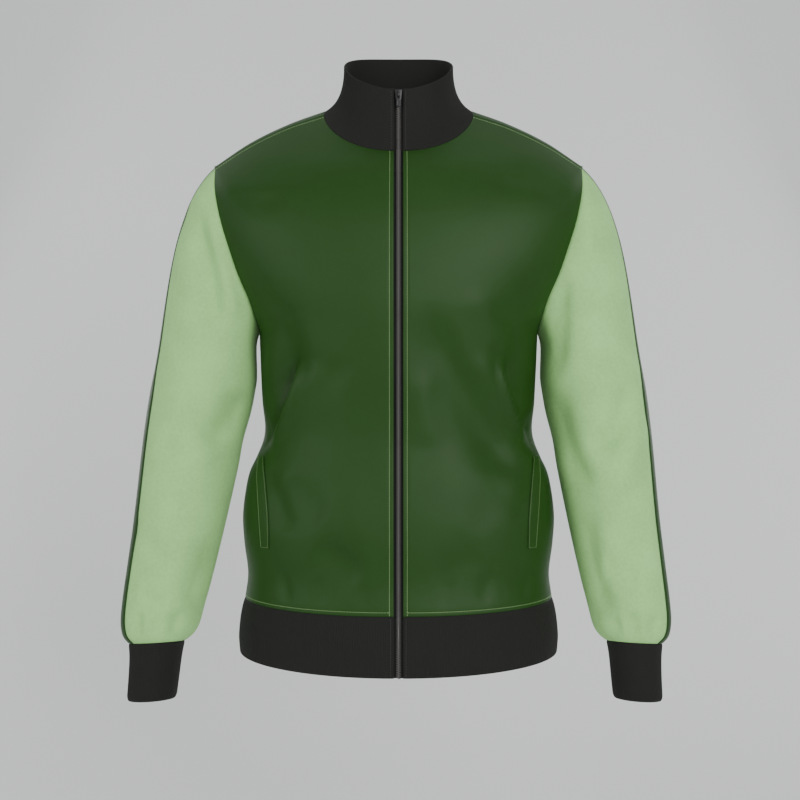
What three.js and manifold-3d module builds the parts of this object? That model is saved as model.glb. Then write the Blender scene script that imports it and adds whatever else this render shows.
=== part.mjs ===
// A zipped track jacket, filled out as when it is worn: two fronts, a back, set-in sleeves
// with an outer stripe, rib collar, hem band and cuffs, pocket welts and a front zip.
// Millimetres, +Z up. The front faces -Y and +X is the wearer's left. The origin lies
// between the shoulders, where the wearer carries the jacket.
import * as THREE from 'three';
import { mergeVertices } from 'three/addons/utils/BufferGeometryUtils.js';
import Module from 'manifold-3d';

// Cloth and seams
const CLOTH_THICKNESS = 2.0;
const RIB_THICKNESS = 2.5;
const SEAM_GAP = 0.3;

// Zip, all widths across the jacket
const ZIP_OPENING = 10.4;
const FACING_WIDTH = 9;
const CHAIN_WIDTH = 5;
const CHAIN_DEPTH = 2.4;
const TAPE_THICKNESS = 0.9;
const TAPE_INSET = RIB_THICKNESS + SEAM_GAP;
const TAPE_INNER_EDGE = 1.6;

// Slider and pull tab, in the slider's own frame: x across, y out of the cloth, z up the zip
const SLIDER = { width: 8.6, height: 12, plate: 1.2, post: 2.4, backWidth: 7.6, backGap: 0.5 };
const CROWN = { width: 2, length: 8, rise: 3.2, bar: 1.1, opening: 2.2 };
const TAB = { width: 5.2, length: 15, thickness: 1.2, eyeWidth: 2.8, eyeLength: 4.6, axisHeight: 1.1 };
const SLIDER_BELOW_TOP = 7.5;

// Rib parts
const COLLAR_TOP = { halfWidth: 66.5, front: -60, back: 57, frontZ: 35.5, climb: 0.892, ease: 0.0028 };
const HEM_DROP = 65;
const HEM_FRONT_EXTRA = 0.05;
const POCKET = { proud: 0.9, thickness: 1.2 };

// Number of steps between two rows of a table, and columns across a panel
const SIDE_STEPS = 1;
const ARMHOLE_STEPS = 2;
const SHOULDER_STEPS = 2;
const FRONT_COLUMNS = 12;
const COLLAR_ROWS = 5;
const CAP_RINGS = 6;

const COLOURS = { front: 0x31531f, sleeve: 0xa3bd95, rib: 0x262624, chain: 0x474444, tape: 0x1d1d1c };

// A table with named columns, one labelled row for each section of the garment
function table(columns, rows) {
  const names = columns.split(' ');
  return Object.values(rows).map(values => Object.fromEntries(names.map((name, i) => [name, values[i]])));
}

// Each row is one line across half a front, from the zip to its outer edge. The outer edge is
// the side seam up to the underarm, the armhole up to the shoulder tip, then the shoulder seam.
// reach and wrap are the lengths of pull at its two ends, turn and fall its heading at the
// outer edge in degrees: turn from +X towards +Y, fall below the level.
const FRONT_ROWS = table('centreY centreZ outerX outerY outerZ reach wrap turn fall', {
  hemSeam: [-125, -572, 186, -2, -567, 0.62, 70, 90, 0],
  tuck: [-121, -538, 182.5, -2, -537, 0.62, 68, 90, 0],
  lowBlouse: [-124, -502, 187, -2, -500, 0.62, 70, 90, 0],
  blouse: [-124, -466, 188.5, -2, -464, 0.62, 70, 90, 0],
  highBlouse: [-120, -423, 182, -2, -421, 0.62, 66, 90, 0],
  waistSide: [-117, -397, 171.5, -2, -396, 0.62, 62, 90, 0],
  pinch: [-115, -369, 163, -2, -368, 0.64, 60, 90, 0],
  ribs: [-118, -330, 165.5, -2, -329, 0.64, 62, 90, 0],
  lowerChest: [-123, -292, 167, -2, -292, 0.64, 64, 90, 0],
  underarm: [-127, -250, 168.5, -2, -250, 0.64, 66, 90, 0],
  armholeLow: [-128, -231, 170.5, -37, -234, 0.64, 38, 72, 0],
  armholeDip: [-128, -208, 176.5, -52, -211, 0.64, 34, 62, -2],
  armholeNotch: [-126, -180, 188, -60, -183, 0.62, 36, 54, -4],
  armholeChest: [-122, -152, 198, -61, -154, 0.62, 40, 50, -6],
  armholeFront: [-115, -120, 210, -54, -117, 0.6, 44, 50, -10],
  armholeHigh: [-105, -92, 219, -37, -79, 0.58, 48, 56, -18],
  shoulderTip: [-95, -71, 222, -14, -49, 0.56, 46, 66, -30],
  shoulderMid: [-85, -57, 180, -12, -21.5, 0.56, 42, 74, -34],
  shoulderIn: [-75, -46, 135, -8, 1, 0.56, 38, 78, -38],
  neckline: [-66, -38, 91, -4, 16.5, 0.6, 34, 82, -38],
});

const BACK_ROWS = table('centreY centreZ outerX outerY outerZ reach wrap turn fall', {
  hemSeam: [112, -565, 186, -2, -567, 0.62, 66, -90, 0],
  tuck: [109, -537, 182.5, -2, -537, 0.62, 64, -90, 0],
  lowBlouse: [112, -500, 187, -2, -500, 0.62, 66, -90, 0],
  blouse: [110, -464, 188.5, -2, -464, 0.62, 66, -90, 0],
  highBlouse: [104, -421, 182, -2, -421, 0.62, 62, -90, 0],
  waistSide: [99, -396, 171.5, -2, -396, 0.62, 58, -90, 0],
  pinch: [95, -368, 163, -2, -368, 0.64, 56, -90, 0],
  ribs: [98, -329, 165.5, -2, -329, 0.64, 58, -90, 0],
  lowerChest: [104, -292, 167, -2, -292, 0.64, 62, -90, 0],
  underarm: [111, -250, 168.5, -2, -250, 0.64, 64, -90, 0],
  armholeLow: [114, -232, 171.5, 31, -235, 0.64, 40, -72, 0],
  armholeDip: [116, -208, 179, 48, -212, 0.64, 38, -62, -2],
  armholeNotch: [118, -180, 190, 59, -184, 0.62, 40, -54, -4],
  armholeBlade: [119, -148, 200, 62, -154, 0.62, 44, -50, -8],
  armholeBack: [117, -110, 211, 55, -117, 0.6, 48, -52, -12],
  armholeHigh: [112, -76, 220, 34, -76, 0.58, 54, -62, -10],
  shoulderRidge: [107, -52, 222.5, 9, -46, 0.56, 54, -86, 2],
  shoulderTip: [103, -37, 222, -14, -49, 0.56, 54, -100, 26],
  shoulderMid: [93, -11, 180, -12, -21.5, 0.56, 54, -104, 28],
  shoulderIn: [82, 12, 135, -8, 1, 0.56, 50, -102, 30],
  neckline: [70, 29, 91, -4, 16.5, 0.6, 40, -98, 38],
});
const FRONT_BREAKS = { underarm: 9, tip: 16, neck: 19 };
const BACK_BREAKS = { underarm: 9, ridge: 16, tip: 17, neck: 20 };

// Rings of the sleeve below its cap: lean turns a ring's outer end up, swing its front up,
// sway moves it towards the wearer's right, and the stripe lies between two angles measured
// forwards from the outermost line.
const SLEEVE_RINGS = table('x y z halfWidth halfDepth lean swing sway stripeFront stripeBack', {
  upperArm: [235, 2, -300, 62, 65, 11, 0, 0, 26, 2],
  aboveElbow: [240.5, 0, -331, 62, 64, 11, 2, 0.3, 32, 7],
  elbow: [247.4, -2, -366, 59.8, 62, 11, 4, 0.8, 34, 9],
  belowElbow: [252, -6, -402, 58.6, 60, 10, 7, 1.2, 34, 8],
  forearm: [262, -15, -474, 54.3, 55, 9, 8, 2, 35, 8],
  lowerForearm: [271.6, -22, -533, 51, 51, 8, 8, 2.5, 36, 7],
  overCuff: [277.6, -28, -568, 48.6, 49, 6, 8, 2.8, 37, 6],
  blouseEdge: [281.6, -31, -594, 46.4, 47, 3, 8, 3, 38, 5],
  turnIn: [283.6, -33, -609, 41.5, 42, -1, 8, 3.2, 40, 4],
  cuffSeam: [284.6, -34, -618, 33, 34.5, -3, 8, 3.4, 46, 2],
});
const CUFF_RINGS = table('x y z halfWidth halfDepth lean swing sway', {
  cuffSeam: [284.6, -34, -618, 33, 34.5, -3, 8, 3.4],
  cuffUpper: [285.4, -35, -634, 31, 32.4, -3, 7, 3.6],
  cuffMiddle: [286.8, -36, -656, 30, 31.4, -3, 6, 4],
  cuffEnd: [289, -38, -685, 29.2, 30.4, -3, 5, 4.4],
});

// The way the sleeve leaves the armhole at its top and at the underarm, and its pulls
const CAP_TOP_HEADING = new THREE.Vector3(0.76, 0, -0.65);
const CAP_UNDER_HEADING = new THREE.Vector3(0.5, 0, -0.87);
const CAP_BULGE = 0.3;
const CAP_START_PULL = 0.85;
const CAP_END_PULL = 0.95;

// Largest folds of the body: a soft trough or ridge along a line in the front view
const BODY_FOLDS = table('side x1 z1 x2 z2 width depth', {
  waistFrontRight: [-1, -163, -376, -122, -286, 15, -6],
  waistFrontLeft: [-1, 163, -374, 120, -282, 15, -6],
  ridgeFrontRight: [-1, -150, -350, -96, -300, 16, 3],
  ridgeFrontLeft: [-1, 150, -350, 98, -296, 16, 3],
  waistBackRight: [1, -160, -372, -104, -300, 17, -6],
  waistBackLeft: [1, 160, -374, 98, -308, 17, -6],
  hollowBack: [1, -70, -380, 70, -376, 26, -5],
});

// Pocket welts on the fronts: the two long edges of a welt, from its foot upwards, one row of
// this table to each row of the front from the low blouse to the waist
const POCKET_EDGES = table('innerX outerX', {
  foot: [149, 159.5],
  lower: [150, 162.5],
  upper: [155, 166.5],
  top: [158.5, 166.5],
});
const POCKET_FIRST_ROW = 2;
const POCKET_STEPS = 3;
const POCKET_STRIPS = 4;

const DEGREE = Math.PI / 180;
const mix = (a, b, share) => a + (b - a) * share;

// A smooth curve through the values of one column, which starts anew at the given breaks
function smooth(rows, column, position, first = 0, last = rows.length - 1) {
  const start = Math.min(Math.max(Math.floor(position), first), last - 1);
  const share = position - start;
  const here = rows[start][column];
  const next = rows[start + 1][column];
  const before = start > first ? rows[start - 1][column] : 2 * here - next;
  const after = start + 1 < last ? rows[start + 2][column] : 2 * next - here;
  const bend = 2 * before - 5 * here + 4 * next - after;
  const twist = 3 * (here - next) + after - before;
  return here + 0.5 * share * (next - before + share * (bend + share * twist));
}

// Rows of a body panel, as positions in its table, with the steps that each stretch takes
function rowPositions(breaks) {
  const positions = [];
  const add = (from, to, steps) => {
    for (let step = 0; step < (to - from) * steps; step++) positions.push(from + step / steps);
  };
  add(0, breaks.underarm, SIDE_STEPS);
  add(breaks.underarm, breaks.tip, ARMHOLE_STEPS);
  add(breaks.tip, breaks.neck, SHOULDER_STEPS);
  positions.push(breaks.neck);
  return positions;
}

// One row of half a body panel: a curve from the centre line to the outer edge
function rowCurve(rows, breaks, position, centreX) {
  let span = [0, breaks.underarm];
  if (position > breaks.underarm) span = [breaks.underarm, breaks.tip];
  if (position > breaks.tip) span = [breaks.tip, breaks.neck];
  const outer = column => smooth(rows, column, position, ...span);
  const start = new THREE.Vector3(centreX, smooth(rows, 'centreY', position), smooth(rows, 'centreZ', position));
  const end = new THREE.Vector3(outer('outerX'), outer('outerY'), outer('outerZ'));
  const turn = outer('turn') * DEGREE;
  const fall = outer('fall') * DEGREE;
  const level = Math.cos(fall);
  const heading = new THREE.Vector3(Math.cos(turn) * level, Math.sin(turn) * level, -Math.sin(fall));
  const pull = smooth(rows, 'reach', position) * end.x;
  const afterStart = start.clone().add(new THREE.Vector3(pull, 0, 0));
  const beforeEnd = end.clone().addScaledVector(heading, -outer('wrap'));
  return { curve: new THREE.CubicBezierCurve3(start, afterStart, beforeEnd, end), pull };
}

// Points across half a panel, from the centre line outwards. The first strip is the facing.
function rowPoints(rows, breaks, position, centreX, columns) {
  const { curve, pull } = rowCurve(rows, breaks, position, centreX);
  const facing = FACING_WIDTH / (3 * pull);
  const points = [curve.getPoint(0)];
  for (let i = 0; i < columns; i++) points.push(curve.getPoint(mix(facing, 1, i / (columns - 1))));
  return points;
}

// A panel is a grid of points with a flag for each edge that is sewn to a neighbour
function makePanel(name, grid, insideAt, seams, closed = false) {
  return { name, grid, insideAt, seams, closed, normals: null };
}

const torsoMiddle = point => new THREE.Vector3(0, 0, Math.min(point.z, -70));
const mirrored = point => new THREE.Vector3(-point.x, point.y, point.z);

function frontGrid(side) {
  return rowPositions(FRONT_BREAKS).map(position => {
    const points = rowPoints(FRONT_ROWS, FRONT_BREAKS, position, ZIP_OPENING / 2, FRONT_COLUMNS);
    return side > 0 ? points : points.map(mirrored);
  });
}

function backGrid() {
  return rowPositions(BACK_BREAKS).map(position => {
    const half = rowPoints(BACK_ROWS, BACK_BREAKS, position, 0, FRONT_COLUMNS);
    return [...half.slice(1).reverse().map(mirrored), ...half];
  });
}

// The full ring of points that a rib part is sewn to, from the right zip edge round the back
function jacketRing(fronts, back, rowOf) {
  const right = rowOf(fronts.right);
  const left = rowOf(fronts.left);
  return [...right, ...rowOf(back).slice(1), ...left.slice(0, -1).reverse()];
}

function hermite(from, to, fromPull, toPull, share) {
  const square = share * share;
  const cube = square * share;
  return new THREE.Vector3()
    .addScaledVector(from, 2 * cube - 3 * square + 1)
    .addScaledVector(fromPull, cube - 2 * square + share)
    .addScaledVector(to, 3 * square - 2 * cube)
    .addScaledVector(toPull, cube - square);
}

// The stand collar rises from the neckline, flat at first over the shoulders, then upright
function collarGrid(neckRing) {
  const top = COLLAR_TOP;
  const middleY = (top.front + top.back) / 2;
  const halfDepth = (top.back - top.front) / 2;
  const grid = [];
  for (let row = 0; row <= COLLAR_ROWS; row++) {
    grid.push(neckRing.map(point => {
      const angle = Math.atan2((point.y - middleY) / halfDepth, point.x / top.halfWidth);
      const atZip = Math.abs(point.x) <= ZIP_OPENING / 2 + 0.01 && point.y < 0;
      const x = atZip ? point.x : top.halfWidth * Math.cos(angle);
      const y = atZip ? top.front : middleY + halfDepth * Math.sin(angle);
      const fromFront = y - top.front;
      const end = new THREE.Vector3(x, y, top.frontZ + top.climb * fromFront - top.ease * fromFront ** 2);
      const inward = new THREE.Vector3(end.x - point.x, end.y - point.y, 0);
      const rise = end.z - point.z;
      const startPull = inward.clone().multiplyScalar(2.6).add(new THREE.Vector3(0, 0, 0.55 * rise));
      return hermite(point, end, startPull, new THREE.Vector3(0, 0, 1.1 * rise), row / COLLAR_ROWS);
    }));
  }
  return grid;
}

// The hem band hangs from the hem seam and flares a little to its lower edge
const HEM_BAND_ROWS = table('drop flare', {
  lowerEdge: [1, 6],
  low: [0.72, 7.4],
  middle: [0.42, 6],
  high: [0.18, 3.4],
  seam: [0, 0],
});

function hemGrid(hemRing) {
  return HEM_BAND_ROWS.map(({ drop, flare }) => hemRing.map(point => {
    const outwards = new THREE.Vector3(point.x, point.y, 0).normalize();
    const atZip = Math.abs(point.x) <= ZIP_OPENING / 2 + 0.01 && point.y < 0;
    if (atZip) outwards.set(0, -1, 0);
    const tilt = 1 - HEM_FRONT_EXTRA * outwards.y;
    return point.clone().addScaledVector(outwards, flare).add(new THREE.Vector3(0, 0, -HEM_DROP * drop * tilt));
  }));
}

// A point of a sleeve or cuff ring: angle 0 is the outermost line, a quarter turn the front
function ringPoint(ring, angle, side) {
  const lean = ring.lean * DEGREE;
  const swing = ring.swing * DEGREE;
  const outwards = ring.halfWidth * Math.cos(angle);
  const forwards = ring.halfDepth * Math.sin(angle);
  return new THREE.Vector3(
    side * (ring.x + outwards * Math.cos(lean)) - ring.sway,
    ring.y - forwards * Math.cos(swing),
    ring.z + outwards * Math.sin(lean) + forwards * Math.sin(swing));
}

function ringAt(rings, position) {
  const columns = Object.keys(rings[0]);
  return Object.fromEntries(columns.map(column => [column, smooth(rings, column, position)]));
}

// Share of the way along a line of points at which each point lies
function arcShares(points) {
  const lengths = [0];
  for (let i = 1; i < points.length; i++) lengths.push(lengths[i - 1] + points[i].distanceTo(points[i - 1]));
  return lengths.map(length => length / lengths.at(-1));
}

// A third of a sleeve: its cap is drawn from the armhole points to the upper arm ring,
// then it follows the rings down to the cuff seam
function sleeveGrid(armhole, angleFrom, angleTo, side) {
  const shares = arcShares(armhole);
  const anglesOf = ring => shares.map(share => mix(angleFrom(ring), angleTo(ring), share) * DEGREE);
  const first = SLEEVE_RINGS[0];
  const second = SLEEVE_RINGS[1];
  const axis = new THREE.Vector3(side * (second.x - first.x), second.y - first.y, second.z - first.z).normalize();
  const firstAngles = anglesOf(first);
  const grid = [];
  for (let ring = 0; ring < CAP_RINGS; ring++) {
    grid.push(armhole.map((point, i) => {
      const end = ringPoint(first, firstAngles[i], side);
      const chord = end.distanceTo(point);
      const under = (1 - Math.cos(firstAngles[i])) / 2;
      const heading = CAP_TOP_HEADING.clone().lerp(CAP_UNDER_HEADING, under);
      heading.y -= CAP_BULGE * Math.sin(firstAngles[i]);
      heading.x *= side;
      heading.normalize();
      const startPull = heading.multiplyScalar(chord * CAP_START_PULL);
      const endPull = axis.clone().multiplyScalar(chord * CAP_END_PULL);
      return hermite(point, end, startPull, endPull, ring / CAP_RINGS);
    }));
  }
  SLEEVE_RINGS.forEach(ring => grid.push(anglesOf(ring).map(angle => ringPoint(ring, angle, side))));
  return grid;
}

// Fold depth at a point of the body, from the fold lines on its own side
function foldDepth(point) {
  let depth = 0;
  for (const fold of BODY_FOLDS) {
    const spanX = fold.x2 - fold.x1;
    const spanZ = fold.z2 - fold.z1;
    const along = ((point.x - fold.x1) * spanX + (point.z - fold.z1) * spanZ) / (spanX ** 2 + spanZ ** 2);
    const clamped = Math.min(Math.max(along, 0), 1);
    const offX = point.x - fold.x1 - spanX * clamped;
    const offZ = point.z - fold.z1 - spanZ * clamped;
    const onSide = Math.min(Math.max(fold.side * point.y / 30, 0), 1);
    depth += fold.depth * onSide * Math.exp(-(offX ** 2 + offZ ** 2) / fold.width ** 2);
  }
  return depth;
}

// Unit normals of a panel's own grid, all facing out of the garment
function gridNormals(panel) {
  const { grid, closed } = panel;
  const columns = grid[0].length;
  const sums = grid.map(row => row.map(() => new THREE.Vector3()));
  const lastColumn = closed ? columns : columns - 1;
  for (let r = 0; r + 1 < grid.length; r++) {
    for (let c = 0; c < lastColumn; c++) {
      const next = (c + 1) % columns;
      const across = grid[r + 1][next].clone().sub(grid[r][c]);
      const back = grid[r + 1][c].clone().sub(grid[r][next]);
      const face = across.cross(back);
      [sums[r][c], sums[r][next], sums[r + 1][c], sums[r + 1][next]].forEach(sum => sum.add(face));
    }
  }
  let outward = 0;
  grid.forEach((row, r) => row.forEach((point, c) => {
    outward += sums[r][c].dot(point.clone().sub(panel.insideAt(point, r)));
  }));
  const sign = Math.sign(outward);
  return sums.map(row => row.map(sum => sum.multiplyScalar(sign).normalize()));
}

const keyOf = point => [point.x, point.y, point.z].map(value => Math.round(value * 100)).join(' ');

// Neighbours that share a seam point also share the normal there, so their walls meet squarely
function shareNormals(panels) {
  const shared = new Map();
  for (const panel of panels) {
    panel.normals = gridNormals(panel);
    panel.grid.forEach((row, r) => row.forEach((point, c) => {
      const key = keyOf(point);
      if (!shared.has(key)) shared.set(key, new THREE.Vector3());
      shared.get(key).add(panel.normals[r][c]);
    }));
  }
  for (const panel of panels) {
    panel.normals = panel.grid.map(row => row.map(point => shared.get(keyOf(point)).clone().normalize()));
  }
}

// How far a point on a sewn edge steps back from the seam line
function setBack(panel, r, c) {
  const { grid, seams } = panel;
  const lastRow = grid.length - 1;
  const lastColumn = grid[0].length - 1;
  const shift = new THREE.Vector3();
  const normal = panel.normals[r][c];
  const stepFrom = (tangentFrom, tangentTo, inner) => {
    const tangent = tangentTo.clone().sub(tangentFrom).normalize();
    const step = inner.clone().sub(grid[r][c]);
    step.addScaledVector(normal, -step.dot(normal)).addScaledVector(tangent, -step.dot(tangent));
    shift.addScaledVector(step.normalize(), SEAM_GAP / 2);
  };
  const alongColumn = [grid[Math.max(r - 1, 0)][c], grid[Math.min(r + 1, lastRow)][c]];
  const alongRow = [grid[r][Math.max(c - 1, 0)], grid[r][Math.min(c + 1, lastColumn)]];
  if (c === 0 && seams.firstColumn) stepFrom(...alongColumn, grid[r][1]);
  if (c === lastColumn && seams.lastColumn) stepFrom(...alongColumn, grid[r][lastColumn - 1]);
  if (r === 0 && seams.firstRow) stepFrom(...alongRow, grid[1][c]);
  if (r === lastRow && seams.lastRow) stepFrom(...alongRow, grid[lastRow - 1][c]);
  return shift;
}

// Turns two grids of points, an outer and an inner face, into one closed wall
function closedWall(outer, inner, closed = false) {
  const rows = outer.length;
  const columns = outer[0].length;
  const positions = [...outer.flat(), ...inner.flat()].flatMap(point => point.toArray());
  const innerStart = rows * columns;
  const faces = [];
  const at = (r, c) => r * columns + (c % columns);
  const quad = (a, b, c, d) => faces.push(a, b, c, a, c, d);
  const lastColumn = closed ? columns : columns - 1;
  for (let r = 0; r + 1 < rows; r++) {
    for (let c = 0; c < lastColumn; c++) {
      const corners = [at(r, c), at(r, c + 1), at(r + 1, c + 1), at(r + 1, c)];
      quad(...corners);
      quad(...corners.map(corner => corner + innerStart).reverse());
    }
  }
  const rim = (a, b) => quad(b, a, a + innerStart, b + innerStart);
  for (let c = 0; c < lastColumn; c++) {
    rim(at(0, c), at(0, c + 1));
    rim(at(rows - 1, c + 1), at(rows - 1, c));
  }
  if (!closed) {
    for (let r = 0; r + 1 < rows; r++) {
      rim(at(r + 1, 0), at(r, 0));
      rim(at(r, columns - 1), at(r + 1, columns - 1));
    }
  }
  return facingOut(positions, faces);
}

// A geometry from points and faces, with every face turned outwards
function facingOut(positions, faces) {
  const corner = index => new THREE.Vector3().fromArray(positions, index * 3);
  let volume = 0;
  for (let i = 0; i < faces.length; i += 3) {
    volume += corner(faces[i]).dot(corner(faces[i + 1]).cross(corner(faces[i + 2])));
  }
  if (volume < 0) faces.reverse();
  const geometry = new THREE.BufferGeometry();
  geometry.setAttribute('position', new THREE.Float32BufferAttribute(positions, 3));
  geometry.setIndex(faces);
  return geometry;
}

function panelWall(panel, thickness) {
  const outer = panel.grid.map((row, r) => row.map((point, c) => point.clone().add(setBack(panel, r, c))));
  const inner = outer.map((row, r) => row.map((point, c) =>
    point.clone().addScaledVector(panel.normals[r][c], -thickness)));
  return closedWall(outer, inner, panel.closed);
}

const jacket = new THREE.Group();
const finishes = {};
for (const [name, colour] of Object.entries(COLOURS)) {
  const metal = name === 'chain';
  finishes[name] = new THREE.MeshStandardMaterial({
    color: colour, roughness: metal ? 0.4 : 0.85, metalness: metal ? 0.7 : 0, side: THREE.FrontSide,
  });
}

function addNode(name, geometry, finish) {
  const mesh = new THREE.Mesh(geometry, finishes[finish]);
  mesh.name = name;
  jacket.add(mesh);
  return mesh;
}

// Body panels
const allSewn = { firstRow: true, lastRow: true, firstColumn: true, lastColumn: true };
const frontSeams = { ...allSewn, firstColumn: false };
const fronts = {
  left: makePanel('front_left', frontGrid(1), torsoMiddle, frontSeams),
  right: makePanel('front_right', frontGrid(-1), torsoMiddle, frontSeams),
};
const back = makePanel('back', backGrid(), torsoMiddle, allSewn);

// Rib collar and hem band
const neckRow = panel => panel.grid.at(-1);
const hemRow = panel => panel.grid[0];
const collar = makePanel('collar', collarGrid(jacketRing(fronts, back, neckRow)),
  point => new THREE.Vector3(0, 0, point.z), { firstRow: true });
const hemBand = makePanel('hem_band', hemGrid(jacketRing(fronts, back, hemRow)), torsoMiddle, { lastRow: true });

// Sleeves and cuffs
function armholeEdge(grid, breaks, side) {
  const positions = rowPositions(breaks);
  const first = positions.indexOf(breaks.underarm);
  const last = positions.indexOf(breaks.tip);
  const rows = grid.slice(first, last + 1);
  const points = rows.map(row => (side > 0 ? row.at(-1) : row[0]));
  return points.reverse();
}

function sleevePanels(label, side) {
  const front = fronts[label];
  const frontEdge = armholeEdge(front.grid.map(row => (side > 0 ? row : [...row].reverse())), FRONT_BREAKS, side);
  const backEdge = armholeEdge(back.grid, BACK_BREAKS, side);
  const stripeCount = (BACK_BREAKS.tip - BACK_BREAKS.ridge) * ARMHOLE_STEPS;
  const armMiddle = (point, r) => {
    const ring = SLEEVE_RINGS[Math.max(r - CAP_RINGS, 0)];
    return new THREE.Vector3(side * (r < CAP_RINGS ? 215 : ring.x), ring.y, Math.min(point.z, -110));
  };
  const pieces = {
    front: [frontEdge, ring => ring.stripeFront, () => 180],
    stripe: [backEdge.slice(0, stripeCount + 1), ring => ring.stripeFront, ring => ring.stripeBack],
    back: [backEdge.slice(stripeCount), ring => ring.stripeBack, () => -180],
  };
  return Object.entries(pieces).map(([piece, [edge, from, to]]) =>
    makePanel(`sleeve_${piece}_${label}`, sleeveGrid(edge, from, to, side), armMiddle, allSewn));
}

function cuffPanel(label, side, sleeve) {
  const [front, stripe, rear] = sleeve.map(panel => panel.grid.at(-1));
  const ring = [...[...front].reverse(), ...stripe.slice(1), ...rear.slice(1, -1)];
  const seamRing = CUFF_RINGS[0];
  const angles = ring.map(point => {
    const outwards = (side * (point.x + seamRing.sway) - seamRing.x) / seamRing.halfWidth;
    return Math.atan2((seamRing.y - point.y) / seamRing.halfDepth, outwards);
  });
  const grid = CUFF_RINGS.map(row => angles.map(angle => ringPoint(row, angle, side)));
  grid[0] = ring;
  const middle = (point, r) => new THREE.Vector3(side * CUFF_RINGS[r].x, CUFF_RINGS[r].y, point.z);
  return makePanel(`cuff_${label}`, grid, middle, { firstRow: true }, true);
}

const clothPanels = [fronts.left, fronts.right, back];
const stripePanels = [];
const sleeveClothPanels = [];
const ribPanels = [collar, hemBand];
for (const [label, side] of [['left', 1], ['right', -1]]) {
  const sleeve = sleevePanels(label, side);
  sleeveClothPanels.push(sleeve[0], sleeve[2]);
  stripePanels.push(sleeve[1]);
  ribPanels.push(cuffPanel(label, side, sleeve));
}

const panels = [...clothPanels, ...sleeveClothPanels, ...stripePanels, ...ribPanels];
shareNormals(panels);
for (const panel of clothPanels) {
  panel.grid = panel.grid.map((row, r) => row.map((point, c) =>
    point.clone().addScaledVector(panel.normals[r][c], foldDepth(point))));
}
shareNormals(panels);

clothPanels.forEach(panel => addNode(panel.name, panelWall(panel, CLOTH_THICKNESS), 'front'));
stripePanels.forEach(panel => addNode(panel.name, panelWall(panel, CLOTH_THICKNESS), 'front'));
sleeveClothPanels.forEach(panel => addNode(panel.name, panelWall(panel, CLOTH_THICKNESS), 'sleeve'));
ribPanels.forEach(panel => addNode(panel.name, panelWall(panel, RIB_THICKNESS), 'rib'));

// Pocket welts, laid on the fronts from their own points
function onPanel(panel, rowPosition, x) {
  const crossing = r => {
    const row = panel.grid[r];
    const c = row.findIndex(point => Math.abs(point.x) > x);
    const share = (x - Math.abs(row[c - 1].x)) / (Math.abs(row[c].x) - Math.abs(row[c - 1].x));
    return ['grid', 'normals'].map(list => panel[list][r][c - 1].clone().lerp(panel[list][r][c], share));
  };
  const low = Math.floor(rowPosition);
  const share = rowPosition - low;
  const [point, normal] = crossing(low);
  if (share === 0) return { point, normal: normal.normalize() };
  const [nextPoint, nextNormal] = crossing(low + 1);
  return { point: point.lerp(nextPoint, share), normal: normal.lerp(nextNormal, share).normalize() };
}

function pocketWelt(panel) {
  const stations = [];
  for (let step = 0; step <= (POCKET_EDGES.length - 1) * POCKET_STEPS; step++) {
    const position = step / POCKET_STEPS;
    const innerX = smooth(POCKET_EDGES, 'innerX', position);
    const outerX = smooth(POCKET_EDGES, 'outerX', position);
    const station = [];
    for (let strip = 0; strip <= POCKET_STRIPS; strip++) {
      station.push(onPanel(panel, POCKET_FIRST_ROW + position, mix(innerX, outerX, strip / POCKET_STRIPS)));
    }
    stations.push(station);
  }
  const lifted = height => stations.map(row => row.map(({ point, normal }) =>
    point.clone().addScaledVector(normal, height)));
  return closedWall(lifted(POCKET.proud + POCKET.thickness), lifted(POCKET.proud));
}
addNode('pocket_welt_left', pocketWelt(fronts.left), 'front');
addNode('pocket_welt_right', pocketWelt(fronts.right), 'front');

// Points and normals down the zip, from the hem's lower edge to the collar's top, on one side
function zipLine(side) {
  const front = side > 0 ? fronts.left : fronts.right;
  const ends = panel => panel.grid.map((row, r) => {
    const last = row.length - 1;
    const columns = side > 0 ? [last, last - 1] : [0, 1];
    return columns.map(c => ({ point: row[c], normal: panel.normals[r][c] }));
  });
  const frontEnds = front.grid.map((row, r) => [0, 1].map(c => ({ point: row[c], normal: front.normals[r][c] })));
  return [...ends(hemBand), ...frontEnds.slice(1, -1), ...ends(collar)];
}

function zipTape(side) {
  const stations = zipLine(side).map(([edge, facing]) => {
    const straightIn = edge.normal.clone().setX(0).normalize();
    const inner = { point: edge.point.clone().setX(side * TAPE_INNER_EDGE), normal: straightIn };
    return [inner, edge, facing];
  });
  const sunk = depth => stations.map(row => row.map(({ point, normal }) =>
    point.clone().addScaledVector(normal, -depth)));
  return closedWall(sunk(TAPE_INSET), sunk(TAPE_INSET + TAPE_THICKNESS));
}
addNode('zip_tape_left', zipTape(1), 'tape');
addNode('zip_tape_right', zipTape(-1), 'tape');

// The slider sits a little below the collar's top, on the line of the zip
const zipCentre = zipLine(1).map(([edge]) => ({
  point: edge.point.clone().setX(0), normal: edge.normal.clone().setX(0).normalize(),
}));
const zipTop = zipCentre.at(-1);
const zipUp = zipTop.point.clone().sub(zipCentre.at(-2).point).normalize();
const sliderAt = zipTop.point.clone().addScaledVector(zipUp, -SLIDER_BELOW_TOP);
const sliderTurn = Math.atan2(zipUp.y, zipUp.z);

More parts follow.
